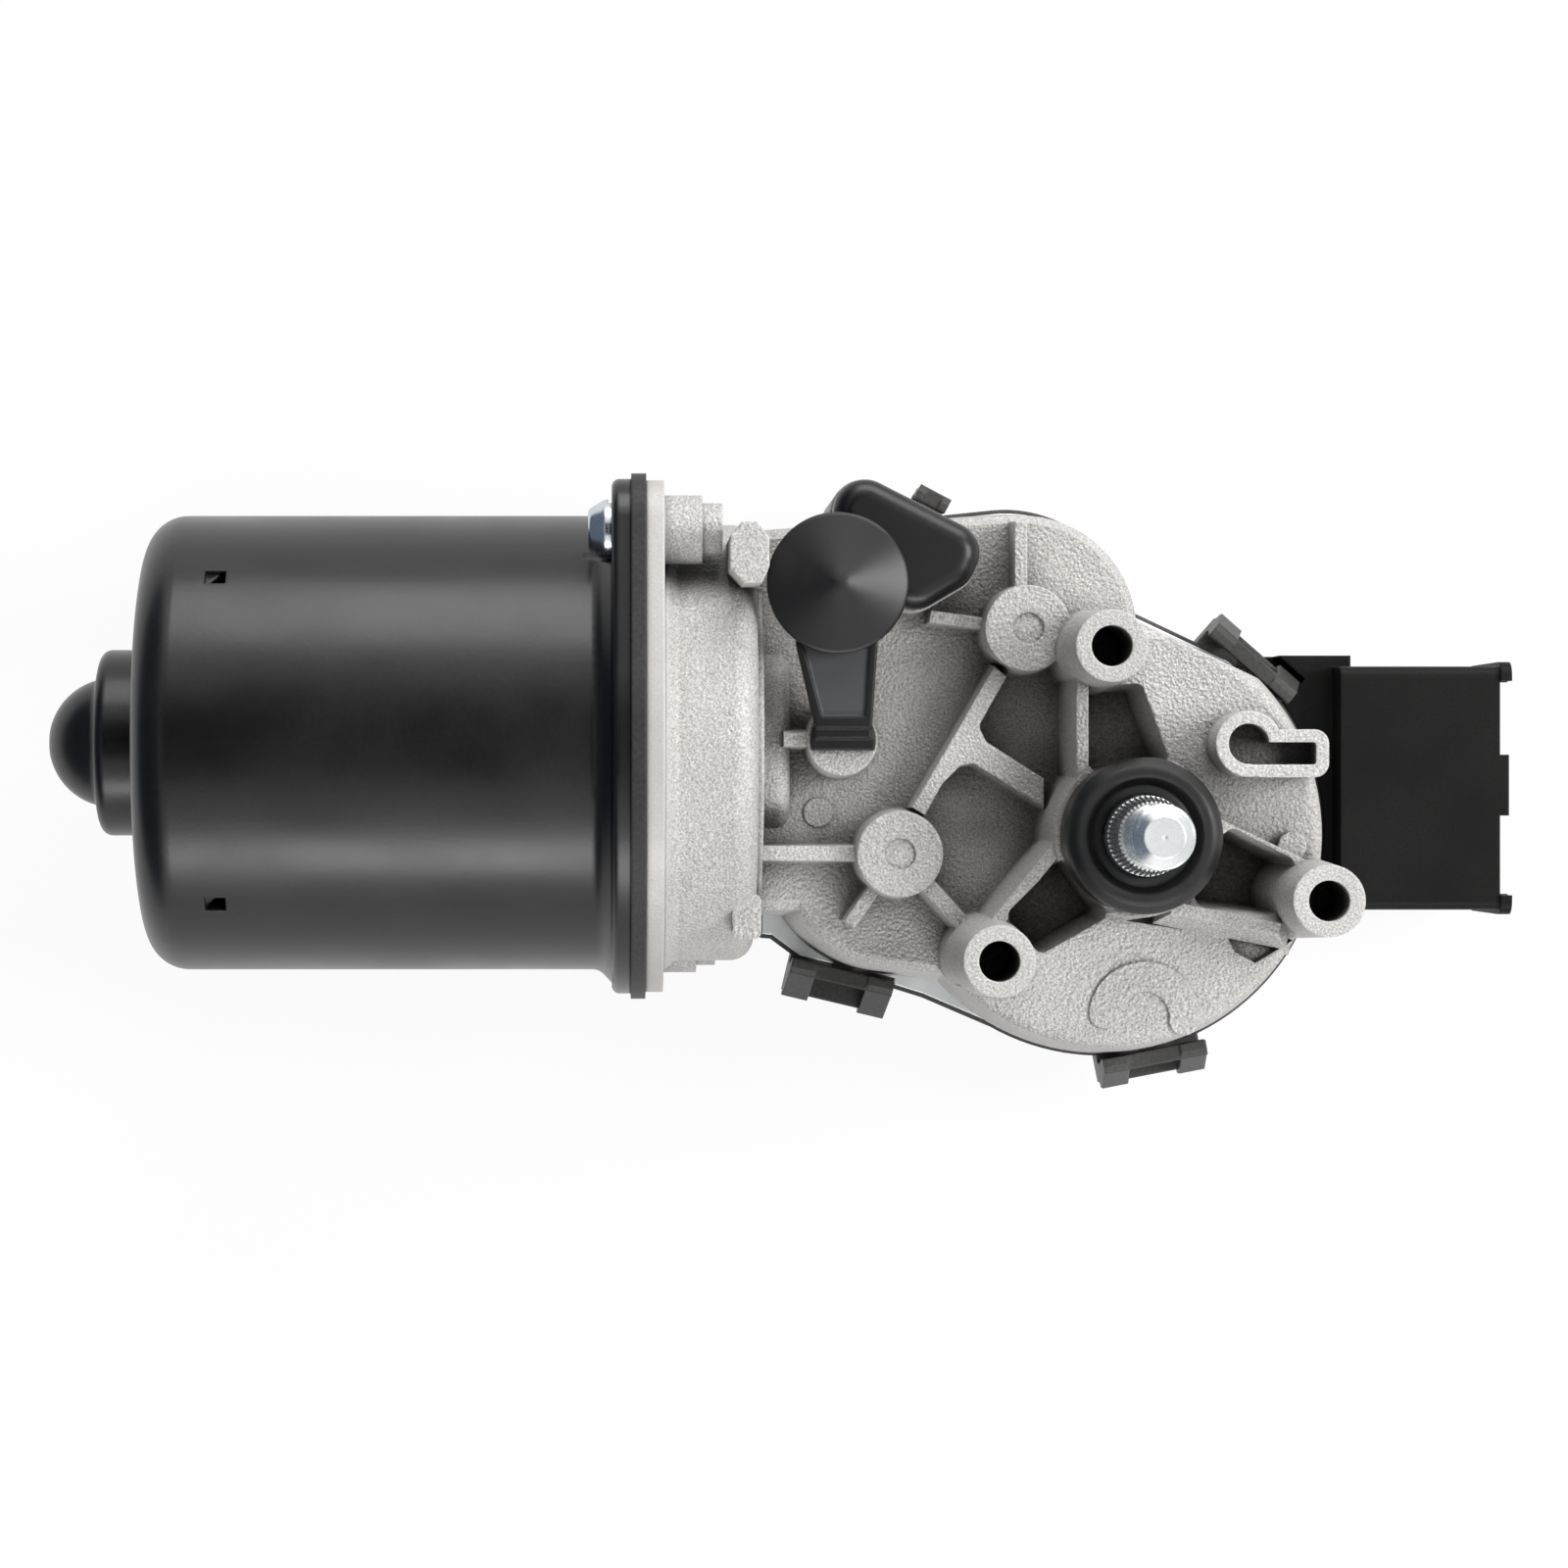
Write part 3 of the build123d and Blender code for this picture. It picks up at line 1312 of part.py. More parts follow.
# Connector: open socket toward +X with five blades
connector_middle_y = (connector_low_y + connector_high_y) / 2
connector_middle_z = (connector_low_z + connector_high_z) / 2
connector_width = connector_high_y - connector_low_y
connector_height = connector_high_z - connector_low_z
socket_depth = connector_end_x - connector_start_x - connector_wall
with BuildPart() as connector_shroud:
    with BuildSketch(Plane.YZ.offset(connector_start_x)):
        with Locations((connector_middle_y, connector_middle_z)):
            RectangleRounded(connector_width, connector_height, 1.5)
    extrude(amount=connector_end_x - connector_start_x)
    with BuildSketch(Plane.YZ.offset(connector_end_x - 1.5)):
        with Locations((connector_middle_y, connector_middle_z)):
            RectangleRounded(connector_width + 1.2, connector_height + 1.2, 2.0)
    extrude(amount=1.5)
    # The upper wall ends short between the corners, with a lock tab in its middle
    with BuildSketch(Plane.YZ.offset(connector_end_x - 1.5)):
        with Locations((connector_middle_y, connector_high_z)):
            Rectangle(connector_width - 4.0, 2 * connector_wall + 1)
    extrude(amount=1.5, mode=Mode.SUBTRACT)
    with BuildSketch(Plane.YZ.offset(connector_end_x - 2.0)):
        with Locations((lock_tab_middle_y, connector_high_z - 0.6)):
            Rectangle(lock_tab_width, 1.2)
    extrude(amount=1.7)
    with BuildSketch(Plane.XY.offset(back_z - 1)):
        with Locations((27.0, 7.0)):
            Rectangle(14.2, 34.1)
    extrude(amount=cover_z - back_z + 1)
    with BuildSketch(Plane.XY.offset(back_z - 2)):
        Circle(plate_radius + cover_overhang + seat_clearance)
    extrude(amount=back_cover_depth + 3, mode=Mode.SUBTRACT)
    x, y, turn, span, reach = latches[2]
    with BuildSketch(Plane(Location((x, y, 0), turn)).offset(block_z - mould_clearance)):
        with Locations(((reach - block_back) / 2, 0)):
            Rectangle(reach + block_back + 3, span + 2 * mould_clearance)
    extrude(amount=back_cover_depth, mode=Mode.SUBTRACT)
    with BuildSketch(Plane.YZ.offset(connector_end_x)):
        with Locations((connector_middle_y, connector_middle_z)):
            RectangleRounded(connector_width - 2 * connector_wall, connector_height - 2 * connector_wall, 1.0)
    extrude(amount=-socket_depth, mode=Mode.SUBTRACT)
    with BuildSketch(Plane.YZ.offset(connector_start_x - 1)):
        with Locations(Location((connector_middle_y, connector_middle_z))):
            with GridLocations(terminal_pitch, 1, terminal_count, 1):
                Rectangle(blade_width + 0.1, blade_thickness + 0.1)
    extrude(amount=connector_wall + 2, mode=Mode.SUBTRACT)
save(connector_shroud, "connector_shroud")

with BuildPart() as connector_terminals:
    with BuildSketch(Plane.YZ.offset(connector_start_x - 0.5)):
        with Locations(Location((connector_middle_y, connector_middle_z))):
            with GridLocations(terminal_pitch, 1, terminal_count, 1):
                Rectangle(blade_width, blade_thickness)
    extrude(amount=connector_wall + 0.5 + blade_length)
    chamfer(connector_terminals.faces().sort_by(Axis.X)[-terminal_count:].edges(), 0.3)
save(connector_terminals, "connector_terminals")

# Rubber vent cap: cone on the nipple, strap, and foot disc on its boss
cap_radius = 9.0
cap_rim_z = -12.6
cap_apex_z = -8.8
strap_foot_z = -16.2
strap_top_z = -14.6
foot_top_z = foot_boss_z + 1.5
foot_chord = 1.3
with BuildPart() as vent_cap:
    with BuildSketch(Plane(origin=(*nipple_centre, 0), x_dir=(1, 0, 0), z_dir=(0, -1, 0))):
        with BuildLine():
            outline(
                (0, nipple_top_z + 0.2),
                (nipple_radius + seat_clearance, nipple_top_z + 0.2),
                (nipple_radius + seat_clearance, nipple_top_z - 4),
                (nipple_radius + 1.0, nipple_top_z - 4),
                (nipple_radius + 1.0, cap_rim_z - 1.2),
                (cap_radius - 1.0, cap_rim_z - 0.4),
                (cap_radius, cap_rim_z),
                (cap_radius, cap_rim_z + 0.8, 0.4),
                (0, cap_apex_z),
            )
        make_face()
    revolve(axis=Axis((*nipple_centre, 0), (0, 0, 1)))
    with BuildSketch(Plane.XY.offset(strap_foot_z)):
        with BuildLine():
            outline(
                (nipple_centre[0] - 5.2, nipple_centre[1] - 3.7),
                (nipple_centre[0] + 5.2, nipple_centre[1] - 3.7),
                (nipple_centre[0] + 5.2, nipple_centre[1] - 7.8),
                (foot_centre[0] + 3.6, foot_centre[1] + 1.5),
                (foot_centre[0] - 3.6, foot_centre[1] + 1.5),
                (nipple_centre[0] - 5.2, nipple_centre[1] - 7.8),
            )
        make_face()
    extrude(amount=strap_top_z - strap_foot_z)
    with BuildSketch(Plane.XY.offset(strap_top_z)):
        with BuildLine():
            outline(
                (nipple_centre[0] - 4.2, nipple_centre[1] - 7.8),
                (nipple_centre[0] + 4.2, nipple_centre[1] - 7.8),
                (foot_centre[0] + 2.7, foot_centre[1] + 3.0),
                (foot_centre[0] - 2.7, foot_centre[1] + 3.0),
            )
        make_face()
    extrude(amount=-0.4, mode=Mode.SUBTRACT)
    with BuildSketch(Plane.XY.offset(foot_boss_z + 0.05)):
        with Locations(foot_centre):
            Circle(foot_boss_radius - 0.3)
        with Locations((foot_centre[0], foot_centre[1] - foot_chord - 3)):
            Rectangle(12, 6, mode=Mode.SUBTRACT)
    extrude(amount=foot_top_z - foot_boss_z - 0.05)
    with BuildSketch(Plane.XY.offset(foot_top_z - 0.8)):
        with Locations((foot_centre[0], foot_centre[1] + 2.0)):
            Rectangle(7.2, 3.6)
    extrude(amount=strap_foot_z + 0.4 - foot_top_z + 0.8)
save(vent_cap, "vent_cap")

with BuildPart() as vent_boot:
    with BuildSketch(Plane.XY.offset(boot_foot_z)):
        with BuildLine():
            outline(*[(*corner, boot_corner_radius) for corner in boot_corners])
        make_face()
    extrude(amount=boot_top_z - boot_foot_z)
    fillet(vent_boot.edges().group_by(Axis.Z)[-1], 2.4)
save(vent_boot, "vent_boot")
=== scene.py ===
import json
import math

import bmesh
import bpy
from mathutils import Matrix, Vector


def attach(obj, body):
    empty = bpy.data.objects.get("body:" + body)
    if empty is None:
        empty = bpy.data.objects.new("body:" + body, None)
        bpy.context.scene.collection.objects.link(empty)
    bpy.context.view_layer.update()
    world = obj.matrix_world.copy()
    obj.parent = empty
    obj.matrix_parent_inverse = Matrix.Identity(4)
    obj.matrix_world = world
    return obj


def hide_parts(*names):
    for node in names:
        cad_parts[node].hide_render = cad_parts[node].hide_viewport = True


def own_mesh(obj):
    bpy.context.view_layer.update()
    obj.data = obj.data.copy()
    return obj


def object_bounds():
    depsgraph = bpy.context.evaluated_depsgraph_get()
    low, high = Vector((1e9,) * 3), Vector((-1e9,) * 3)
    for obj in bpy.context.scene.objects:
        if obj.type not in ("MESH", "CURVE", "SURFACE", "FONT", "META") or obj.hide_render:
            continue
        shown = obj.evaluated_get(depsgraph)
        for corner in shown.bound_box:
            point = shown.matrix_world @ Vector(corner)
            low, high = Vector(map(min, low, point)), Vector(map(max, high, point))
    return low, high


# Dressing of the wiper motor, in metres, in the frame of the CAD model.
# The output shaft points to +Z, the motor can to -X and the connector mouth to +X.

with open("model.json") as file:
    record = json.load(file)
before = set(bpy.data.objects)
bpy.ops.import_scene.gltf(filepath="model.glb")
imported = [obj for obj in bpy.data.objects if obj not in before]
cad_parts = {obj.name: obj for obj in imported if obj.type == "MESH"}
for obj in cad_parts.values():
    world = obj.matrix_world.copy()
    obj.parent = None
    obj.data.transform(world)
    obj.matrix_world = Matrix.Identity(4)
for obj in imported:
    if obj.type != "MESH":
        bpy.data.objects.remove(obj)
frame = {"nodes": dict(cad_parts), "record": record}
cad_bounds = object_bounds()
nodes = frame["nodes"]
MM = 0.001

# Sockets of the Mix node that carry colours
COLOR_A = 6
COLOR_B = 7
COLOR_RESULT = 2

# Noise keeps mostly between these two values
NOISE_LOW = 0.3
NOISE_HIGH = 0.7


# Shader helpers
class Shader:
    """A node material around one Principled shader, with object coordinates to hand."""

    def __init__(self, name, color, roughness, metallic=0.0, specular_level=0.5):
        self.material = bpy.data.materials.new(name)
        self.material.use_nodes = True
        self.tree = self.material.node_tree
        self.shader = self.tree.nodes["Principled BSDF"]
        self.shader.inputs["Base Color"].default_value = (*color, 1)
        self.shader.inputs["Roughness"].default_value = roughness
        self.shader.inputs["Metallic"].default_value = metallic
        self.shader.inputs["Specular IOR Level"].default_value = specular_level
        self.place = self.node("ShaderNodeTexCoord").outputs["Object"]
        self.normal = None

    def node(self, kind, **settings):
        made = self.tree.nodes.new(kind)
        for key, value in settings.items():
            setattr(made, key, value)
        return made

    def link(self, source, target):
        self.tree.links.new(source, target)

    def noise(self, size, detail=2.0, roughness=0.5, stretch=(1, 1, 1)):
        """Noise from 0 to 1 whose grains are about this size in metres."""
        mapping = self.node("ShaderNodeMapping")
        mapping.inputs["Scale"].default_value = stretch
        self.link(self.place, mapping.inputs["Vector"])
        made = self.node("ShaderNodeTexNoise")
        made.inputs["Scale"].default_value = 1.0 / size
        made.inputs["Detail"].default_value = detail
        made.inputs["Roughness"].default_value = roughness
        self.link(mapping.outputs["Vector"], made.inputs["Vector"])
        return made.outputs["Fac"]

    def cells(self, size):
        """Rounded cells of about this size, as on a cast or blasted skin."""
        made = self.node("ShaderNodeTexVoronoi", feature="SMOOTH_F1")
        made.inputs["Scale"].default_value = 1.0 / size
        made.inputs["Smoothness"].default_value = 0.6
        self.link(self.place, made.inputs["Vector"])
        return made.outputs["Distance"]

    def remap(self, value, low, high, to_low=0.0, to_high=1.0):
        """Takes low to to_low and high to to_high, straight in between and level beyond."""
        made = self.node("ShaderNodeMapRange", clamp=True)
        made.inputs["From Min"].default_value = low
        made.inputs["From Max"].default_value = high
        made.inputs["To Min"].default_value = to_low
        made.inputs["To Max"].default_value = to_high
        self.link(value, made.inputs["Value"])
        return made.outputs["Result"]

    def math(self, operation, a, b):
        made = self.node("ShaderNodeMath", operation=operation)
        for socket, value in zip(made.inputs, (a, b)):
            if isinstance(value, (int, float)):
                socket.default_value = value
            else:
                self.link(value, socket)
        return made.outputs["Value"]

    def axis(self, letter):
        """One object coordinate."""
        made = self.node("ShaderNodeSeparateXYZ")
        self.link(self.place, made.inputs["Vector"])
        return made.outputs[letter]

    def mix(self, share, a, b):
        """Colour a where share is 0 and colour b where it is 1."""
        made = self.node("ShaderNodeMix", data_type="RGBA")
        self.link(share, made.inputs["Factor"])
        for socket, value in ((made.inputs[COLOR_A], a), (made.inputs[COLOR_B], b)):
            if isinstance(value, tuple):
                socket.default_value = (*value, 1)
            else:
                self.link(value, socket)
        return made.outputs[COLOR_RESULT]

    def bevel(self, radius, samples=4):
        """Rounds the edges in shading, and gives back a mask that is 1 along them."""
        made = self.node("ShaderNodeBevel", samples=samples)
        made.inputs["Radius"].default_value = radius
        self.normal = made.outputs["Normal"]
        plain = self.node("ShaderNodeNewGeometry").outputs["Normal"]
        agreement = self.node("ShaderNodeVectorMath", operation="DOT_PRODUCT")
        self.link(made.outputs["Normal"], agreement.inputs[0])
        self.link(plain, agreement.inputs[1])
        on_a_face, on_an_edge = 0.995, 0.80
        return self.remap(agreement.outputs["Value"], on_a_face, on_an_edge)

    def paint_edge_highlight(self, color, highlight_color, edge_mask):
        """A colour that turns paler along the edges, as a painted highlight."""
        return self.mix(self.math("MULTIPLY", edge_mask, 0.6), color, highlight_color)

    def painted_corner_shade(self, reach):
        """Painted shade: goes from 1 in the open to 0 in corners and pockets nearer than this reach."""
        made = self.node("ShaderNodeAmbientOcclusion", samples=8)
        made.inputs["Distance"].default_value = reach
        return made.outputs["AO"]

    def scale(self, color, share):
        """A colour times a number, both from sockets."""
        made = self.node("ShaderNodeVectorMath", operation="SCALE")
        self.link(color, made.inputs[0])
        self.link(share, made.inputs["Scale"])
        return made.outputs["Vector"]

    def bump(self, height, distance, strength=1.0):
        made = self.node("ShaderNodeBump")
        made.inputs["Strength"].default_value = strength
        made.inputs["Distance"].default_value = distance
        self.link(height, made.inputs["Height"])
        if self.normal is not None:
            self.link(self.normal, made.inputs["Normal"])
        self.normal = made.outputs["Normal"]

    def finish(self, color, roughness):
        self.link(color, self.shader.inputs["Base Color"])
        self.link(roughness, self.shader.inputs["Roughness"])
        self.link(self.normal, self.shader.inputs["Normal"])
        return self.material


# Finishes
def scaled(color, factor, lift=0.0):
    """A colour times a factor, raised by a little and kept within 1."""
    return tuple(min(1.0, channel * factor + lift) for channel in color)


def satin_black(name, base, roughness, level, grain=0.5 * MM, depth=0.008 * MM, edge=0.5 * MM,
                fleck=0.25, panel=None):
    """Black paint, rubber or plastic: fine grain, slightly cloudy sheen, painted highlight along edges.

    fleck is how much the grain lightens and darkens the colour. panel is a height and the
    colour of a painted reflection on the flat face that lies at that height.
    """
    shader = Shader(name, base, roughness, specular_level=level)
    edge_mask = shader.bevel(edge)
    cloud = shader.noise(12 * MM, detail=3.0)
    fine = shader.noise(grain)
    shader.bump(fine, depth)
    paler = scaled(base, 1.5, lift=0.002)
    # Painted highlight: a paler colour along the edges
    highlight_color = scaled(base, 2.5, lift=0.012)
    color = shader.mix(shader.remap(cloud, 0.35, NOISE_HIGH), base, paler)
    color = shader.paint_edge_highlight(color, highlight_color, edge_mask)
    color = shader.scale(color, shader.remap(fine, NOISE_LOW, NOISE_HIGH, 1 - fleck, 1 + fleck))
    # Painted reflection: the flat face at the panel's height gets a paler colour
    if panel is not None:
        height, reflection_color = panel
        inside, outside = 0.03 * MM, 0.1 * MM
        above = shader.remap(shader.axis("Z"), height - outside, height - inside)
        below = shader.remap(shader.axis("Z"), height + outside, height + inside)
        color = shader.mix(shader.math("MULTIPLY", above, below), color, reflection_color)
    rough = shader.remap(cloud, NOISE_LOW, NOISE_HIGH, roughness - 0.03, roughness + 0.04)
    return shader.finish(color, rough)


def cast_alloy():
    """Die-cast alloy: pebbled skin, smoother on boss tops and flange, painted edge highlight and corner
    shade.
    """
    pale = (0.64, 0.626, 0.607)
    dull = (0.585, 0.571, 0.552)
    # Colour of the painted highlight along the edges
    highlight_color = (0.86, 0.85, 0.835)
    boss_height, plate_height = -4 * MM, -12.5 * MM
    flange_side, cast_side = -59.7 * MM, -58.8 * MM
    pebble_share, fine_share, wave_share = 0.9, 0.7, 0.25
    speckle_darkest, speckle_palest = -0.34, 0.30
    # How dark the painted shade in corners and pockets gets
    darkest_corner_shade = 0.16
    shader = Shader("cast_alloy", pale, 0.5, metallic=0.15, specular_level=0.3)
    edge_mask = shader.bevel(0.45 * MM, samples=6)
    below_bosses = shader.remap(shader.axis("Z"), boss_height, plate_height, 0.35, 1.0)
    off_flange = shader.remap(shader.axis("X"), flange_side, cast_side, 0.2, 1.0)

    pebble = shader.cells(0.45 * MM)
    fine = shader.noise(0.24 * MM, roughness=0.6)
    pebble = shader.math("MULTIPLY", pebble, pebble_share)
    fine = shader.math("MULTIPLY", fine, fine_share)
    roughened = shader.math("MULTIPLY", below_bosses, off_flange)
    skin = shader.math("MULTIPLY", shader.math("ADD", pebble, fine), roughened)
    waves = shader.math("MULTIPLY", shader.noise(4 * MM), wave_share)
    skin = shader.math("ADD", skin, waves)
    shader.bump(skin, 0.2 * MM)

    patch = shader.noise(9 * MM, detail=4.0, roughness=0.6)
    color = shader.mix(shader.remap(patch, 0.35, 0.68), pale, dull)
    grains = shader.noise(0.26 * MM, detail=1.5)
    speckle = shader.remap(grains, NOISE_LOW, NOISE_HIGH, speckle_darkest, speckle_palest)
    speckle = shader.math("MULTIPLY", speckle, off_flange)
    color = shader.scale(color, shader.math("ADD", speckle, 1.0))
    # Painted highlight along the edges
    color = shader.paint_edge_highlight(color, highlight_color, edge_mask)
    # Painted shade: the colour darkens in corners and pockets
    color = shader.scale(color, shader.remap(shader.painted_corner_shade(6 * MM), 0.22, 0.80, darkest_corner_shade, 1.0))
    rough = shader.remap(patch, NOISE_LOW, NOISE_HIGH, 0.46, 0.58)
    return shader.finish(color, rough)


def plain_metal(name, color, roughness, scratch=(1, 1, 1)):
    """Turned, plated or rolled metal. Its marks are finer along an axis with a higher scratch."""
    shader = Shader(name, color, roughness, metallic=1.0)
    edge_mask = shader.bevel(0.25 * MM, samples=3)
    marks = shader.noise(0.4 * MM, detail=4.0, roughness=0.65, stretch=scratch)
    cloud = shader.noise(6 * MM, detail=3.0)
    shader.bump(marks, 0.012 * MM, 0.6)
    darker = scaled(color, 0.75)
    # Painted highlight: a brighter colour along the edges
    brighter = scaled(color, 1.2)
    tint = shader.mix(shader.remap(cloud, NOISE_LOW, NOISE_HIGH), color, darker)
    tint = shader.paint_edge_highlight(tint, brighter, edge_mask)
    rough = shader.remap(marks, NOISE_LOW, NOISE_HIGH, roughness - 0.05, roughness + 0.07)
    return shader.finish(tint, rough)


def inner_stuff(name, color, roughness):
    """Dull pieces inside the motor: ferrite, carbon, moulded gears and cards."""
    shader = Shader(name, color, roughness)
    grains = shader.noise(0.6 * MM, detail=3.0)
    shader.bump(grains, 0.02 * MM, 0.6)
    darker = scaled(color, 0.7)
    tint = shader.mix(shader.remap(grains, 0.35, NOISE_HIGH), color, darker)
    rough = shader.remap(grains, NOISE_LOW, NOISE_HIGH, roughness - 0.05, roughness + 0.08)
    return shader.finish(tint, rough)


# One finish for each material slot of the record
finishes = {
    "can_paint": satin_black("can_paint", (0.003, 0.003, 0.0034), 0.31, level=0.47, grain=0.6 * MM),
    "cast_aluminium": cast_alloy(),
    "black_rubber": satin_black("black_rubber", (0.006, 0.006, 0.0062), 0.44, level=0.3),
    "zinc_steel": plain_metal("zinc_steel", (0.72, 0.76, 0.80), 0.22),
    "bright_steel": plain_metal("bright_steel", (0.84, 0.86, 0.87), 0.27),
    "cover_steel": plain_metal("cover_steel", (0.84, 0.87, 0.87), 0.42),
    "cover_plastic": satin_black(
        "cover_plastic", (0.004, 0.0039, 0.0037), 0.46, level=0.12, grain=0.4 * MM),
    "lamination_steel": plain_metal("lamination_steel", (0.32, 0.32, 0.33), 0.4, scratch=(6, 1, 1)),
    "winding_copper": plain_metal("winding_copper", (0.60, 0.25, 0.10), 0.35, scratch=(1, 5, 5)),
    "contact_copper": plain_metal("contact_copper", (0.85, 0.52, 0.30), 0.3),
    "sintered_bronze": plain_metal("sintered_bronze", (0.55, 0.40, 0.20), 0.5),
    "ferrite": inner_stuff("ferrite", (0.05, 0.042, 0.042), 0.6),
    "carbon": inner_stuff("carbon", (0.02, 0.02, 0.02), 0.6),
    "gear_plastic": inner_stuff("gear_plastic", (0.72, 0.69, 0.60), 0.4),
    "card_plastic": inner_stuff("card_plastic", (0.16, 0.09, 0.05), 0.5),
}

# Pieces that look a little different from the rest of their slot.
# The vent cap's strap gets a paler flat face, a painted reflection, given by its height and colour.
strap_reflection = (-15 * MM, (0.075, 0.077, 0.082))
special = {
    "flange_gasket": satin_black("gasket_rubber", (0.026, 0.0255, 0.025), 0.55, level=0.3),
    "vent_cap": satin_black(
        "cap_plastic", (0.003, 0.003, 0.0034), 0.31, level=0.42, depth=0.003 * MM, fleck=0.1,
        panel=strap_reflection),
    "vent_boot": satin_black("boot_rubber", (0.004, 0.004, 0.0045), 0.30, level=0.38, fleck=0.1),
    "shaft_seal": satin_black("seal_rubber", (0.006, 0.006, 0.006), 0.30, level=0.42, edge=0.9 * MM),
    "back_cover": satin_black("latch_plastic", (0.040, 0.039, 0.038), 0.45, level=0.4),
}


def dress(thing, material):
    thing.data.materials.clear()
    thing.data.materials.append(material)


slot_of = {entry["node"]: entry["material_slot"] for entry in frame["record"]["subparts"]}
for name, thing in nodes.items():
    dress(thing, special.get(name, finishes[slot_of[name]]))


def steel_skin(name, rings):
    """A closed steel piece over rings of points in millimetres, capped at both ends."""
    made = bmesh.new()
    rows = []
    for ring in rings:
        rows.append([made.verts.new([value * MM for value in point]) for point in ring])
    around = len(rows[0])
    for low, high in zip(rows, rows[1:]):
        for k in range(around):
            after = (k + 1) % around
            made.faces.new((low[k], low[after], high[after], high[k]))
    made.faces.new(list(reversed(rows[0])))
    made.faces.new(rows[-1])
    bmesh.ops.recalc_face_normals(made, faces=made.faces)
    mesh = bpy.data.meshes.new(name)
    made.to_mesh(mesh)
    made.free()
    mesh.shade_smooth()
    piece = bpy.data.objects.new(name, mesh)
    bpy.context.scene.collection.objects.link(piece)
    dress(piece, finishes["bright_steel"])
    return piece


# Output shaft with its cut thread, lathe-built ring by ring (sizes here in millimetres)
points_around = 240
shaft_foot = -49.3
foot_chamfer = 0.5
journal_radius = 5.0
clip_groove = (-6.75, -5.85)
clip_groove_radius = 4.5
cone_foot = 0.5
cone_top = 6.5
cone_top_radius = 4.35
serration_cuts = (0.32, 0.09, 0.0, 0.0, 0.09)
neck = 6.9
thread_foot = 7.2
shaft_top = 17.0
crest_radius = 4.0
pitch = 1.25
thread_depth = 0.6
flat_share = 0.0625
flank_share = 0.3125
end_chamfer_foot = 15.5
rings_per_turn = 10
centre_mark = ((0.36, 0.0), (0.30, 0.0), (0.26, 0.01), (0.05, 0.02))


def lathe_ring(z, radii):
    """Points round the shaft at one height, one for each radius."""
    ring = []
    for k, radius in enumerate(radii):
        angle = 2 * math.pi * k / len(radii)
        ring.append((radius * math.cos(angle), radius * math.sin(angle), z))
    return ring


def round_ring(z, radius):
    return lathe_ring(z, [radius] * points_around)


def thread_radius(z, turn):
    """Radius of the thread at a height and a share of a turn, with its run-out and chamfer."""
    phase = (z / pitch - turn) % 1.0
    off_crest = min(phase, 1.0 - phase)
    down_the_flank = min(1.0, max(0.0, (off_crest - flat_share) / flank_share))
    growing = min(1.0, (z - thread_foot) / pitch)
    chamfered = crest_radius - max(0.0, z - end_chamfer_foot)
    return min(crest_radius - thread_depth * growing * down_the_flank, chamfered)


def threaded_shaft():
    groove_low, groove_high = clip_groove
    rings = [
        round_ring(shaft_foot, journal_radius - foot_chamfer),
        round_ring(shaft_foot + foot_chamfer, journal_radius),
        round_ring(groove_low, journal_radius),
        round_ring(groove_low, clip_groove_radius),
        round_ring(groove_high, clip_groove_radius),
        round_ring(groove_high, journal_radius),
        round_ring(cone_foot, journal_radius),
    ]
    cuts = [serration_cuts[k % len(serration_cuts)] for k in range(points_around)]
    for share in (0.0, 0.5, 1.0):
        z = cone_foot + (cone_top - cone_foot) * share
        radius = journal_radius + (cone_top_radius - journal_radius) * share
        rings.append(lathe_ring(z, [radius - cut for cut in cuts]))
    rings.append(round_ring(neck, crest_radius))
    count = round((shaft_top - thread_foot) / pitch * rings_per_turn)
    for step in range(count + 1):
        z = thread_foot + (shaft_top - thread_foot) * step / count
        rings.append(lathe_ring(z, [thread_radius(z, k / points_around) for k in range(points_around)]))
    for radius, depth in centre_mark:
        rings.append(round_ring(shaft_top - depth, radius))

    piece = steel_skin("output_shaft_threaded", rings)
    piece.data.set_sharp_from_angle(angle=0.5)
    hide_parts("output_shaft")
    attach(piece, "output")


threaded_shaft()

# Brush springs behind the brushes (sizes here in millimetres)
commutator = Vector((-61.0, 12.0, -36.0))
spring_start = 19.2
spring_end = 24.5
coil_radius = 1.3
wire_radius = 0.21
turns = 4
steps_per_turn = 26
wire_sides = 10


def coil_spring(brush, outward):
    """A coil behind one brush, along a direction away from the armature shaft."""
    out = Vector(outward)
    side = Vector((1, 0, 0))
    other = out.cross(side)
    length = spring_end - spring_start - 2 * wire_radius
    steps = steps_per_turn * turns
    rings = []
    for step in range(steps + 1):
        share = step / steps
        angle = 2 * math.pi * turns * share
        radial = side * math.cos(angle) + other * math.sin(angle)
        around = other * math.cos(angle) - side * math.sin(angle)
        height = spring_start + wire_radius + length * share
        centre = commutator + out * height + radial * coil_radius
        run = (out * length + around * (2 * math.pi * turns * coil_radius)).normalized()
        across = run.cross(radial)
        ring = []
        for k in range(wire_sides):
            turn = 2 * math.pi * k / wire_sides
            ring.append(centre + (radial * math.cos(turn) + across * math.sin(turn)) * wire_radius)
        rings.append(ring)

    piece = steel_skin(f"{brush}_coil", rings)
    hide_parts(brush.replace("brush_", "brush_spring_"))
    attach(piece, "motor")
    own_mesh(piece)


coil_spring("brush_common", (0.0, 1.0, 0.0))
coil_spring("brush_low_speed", (0.0, -1.0, 0.0))
coil_spring("brush_high_speed", (0.0, -0.5, math.sqrt(3) / 2))


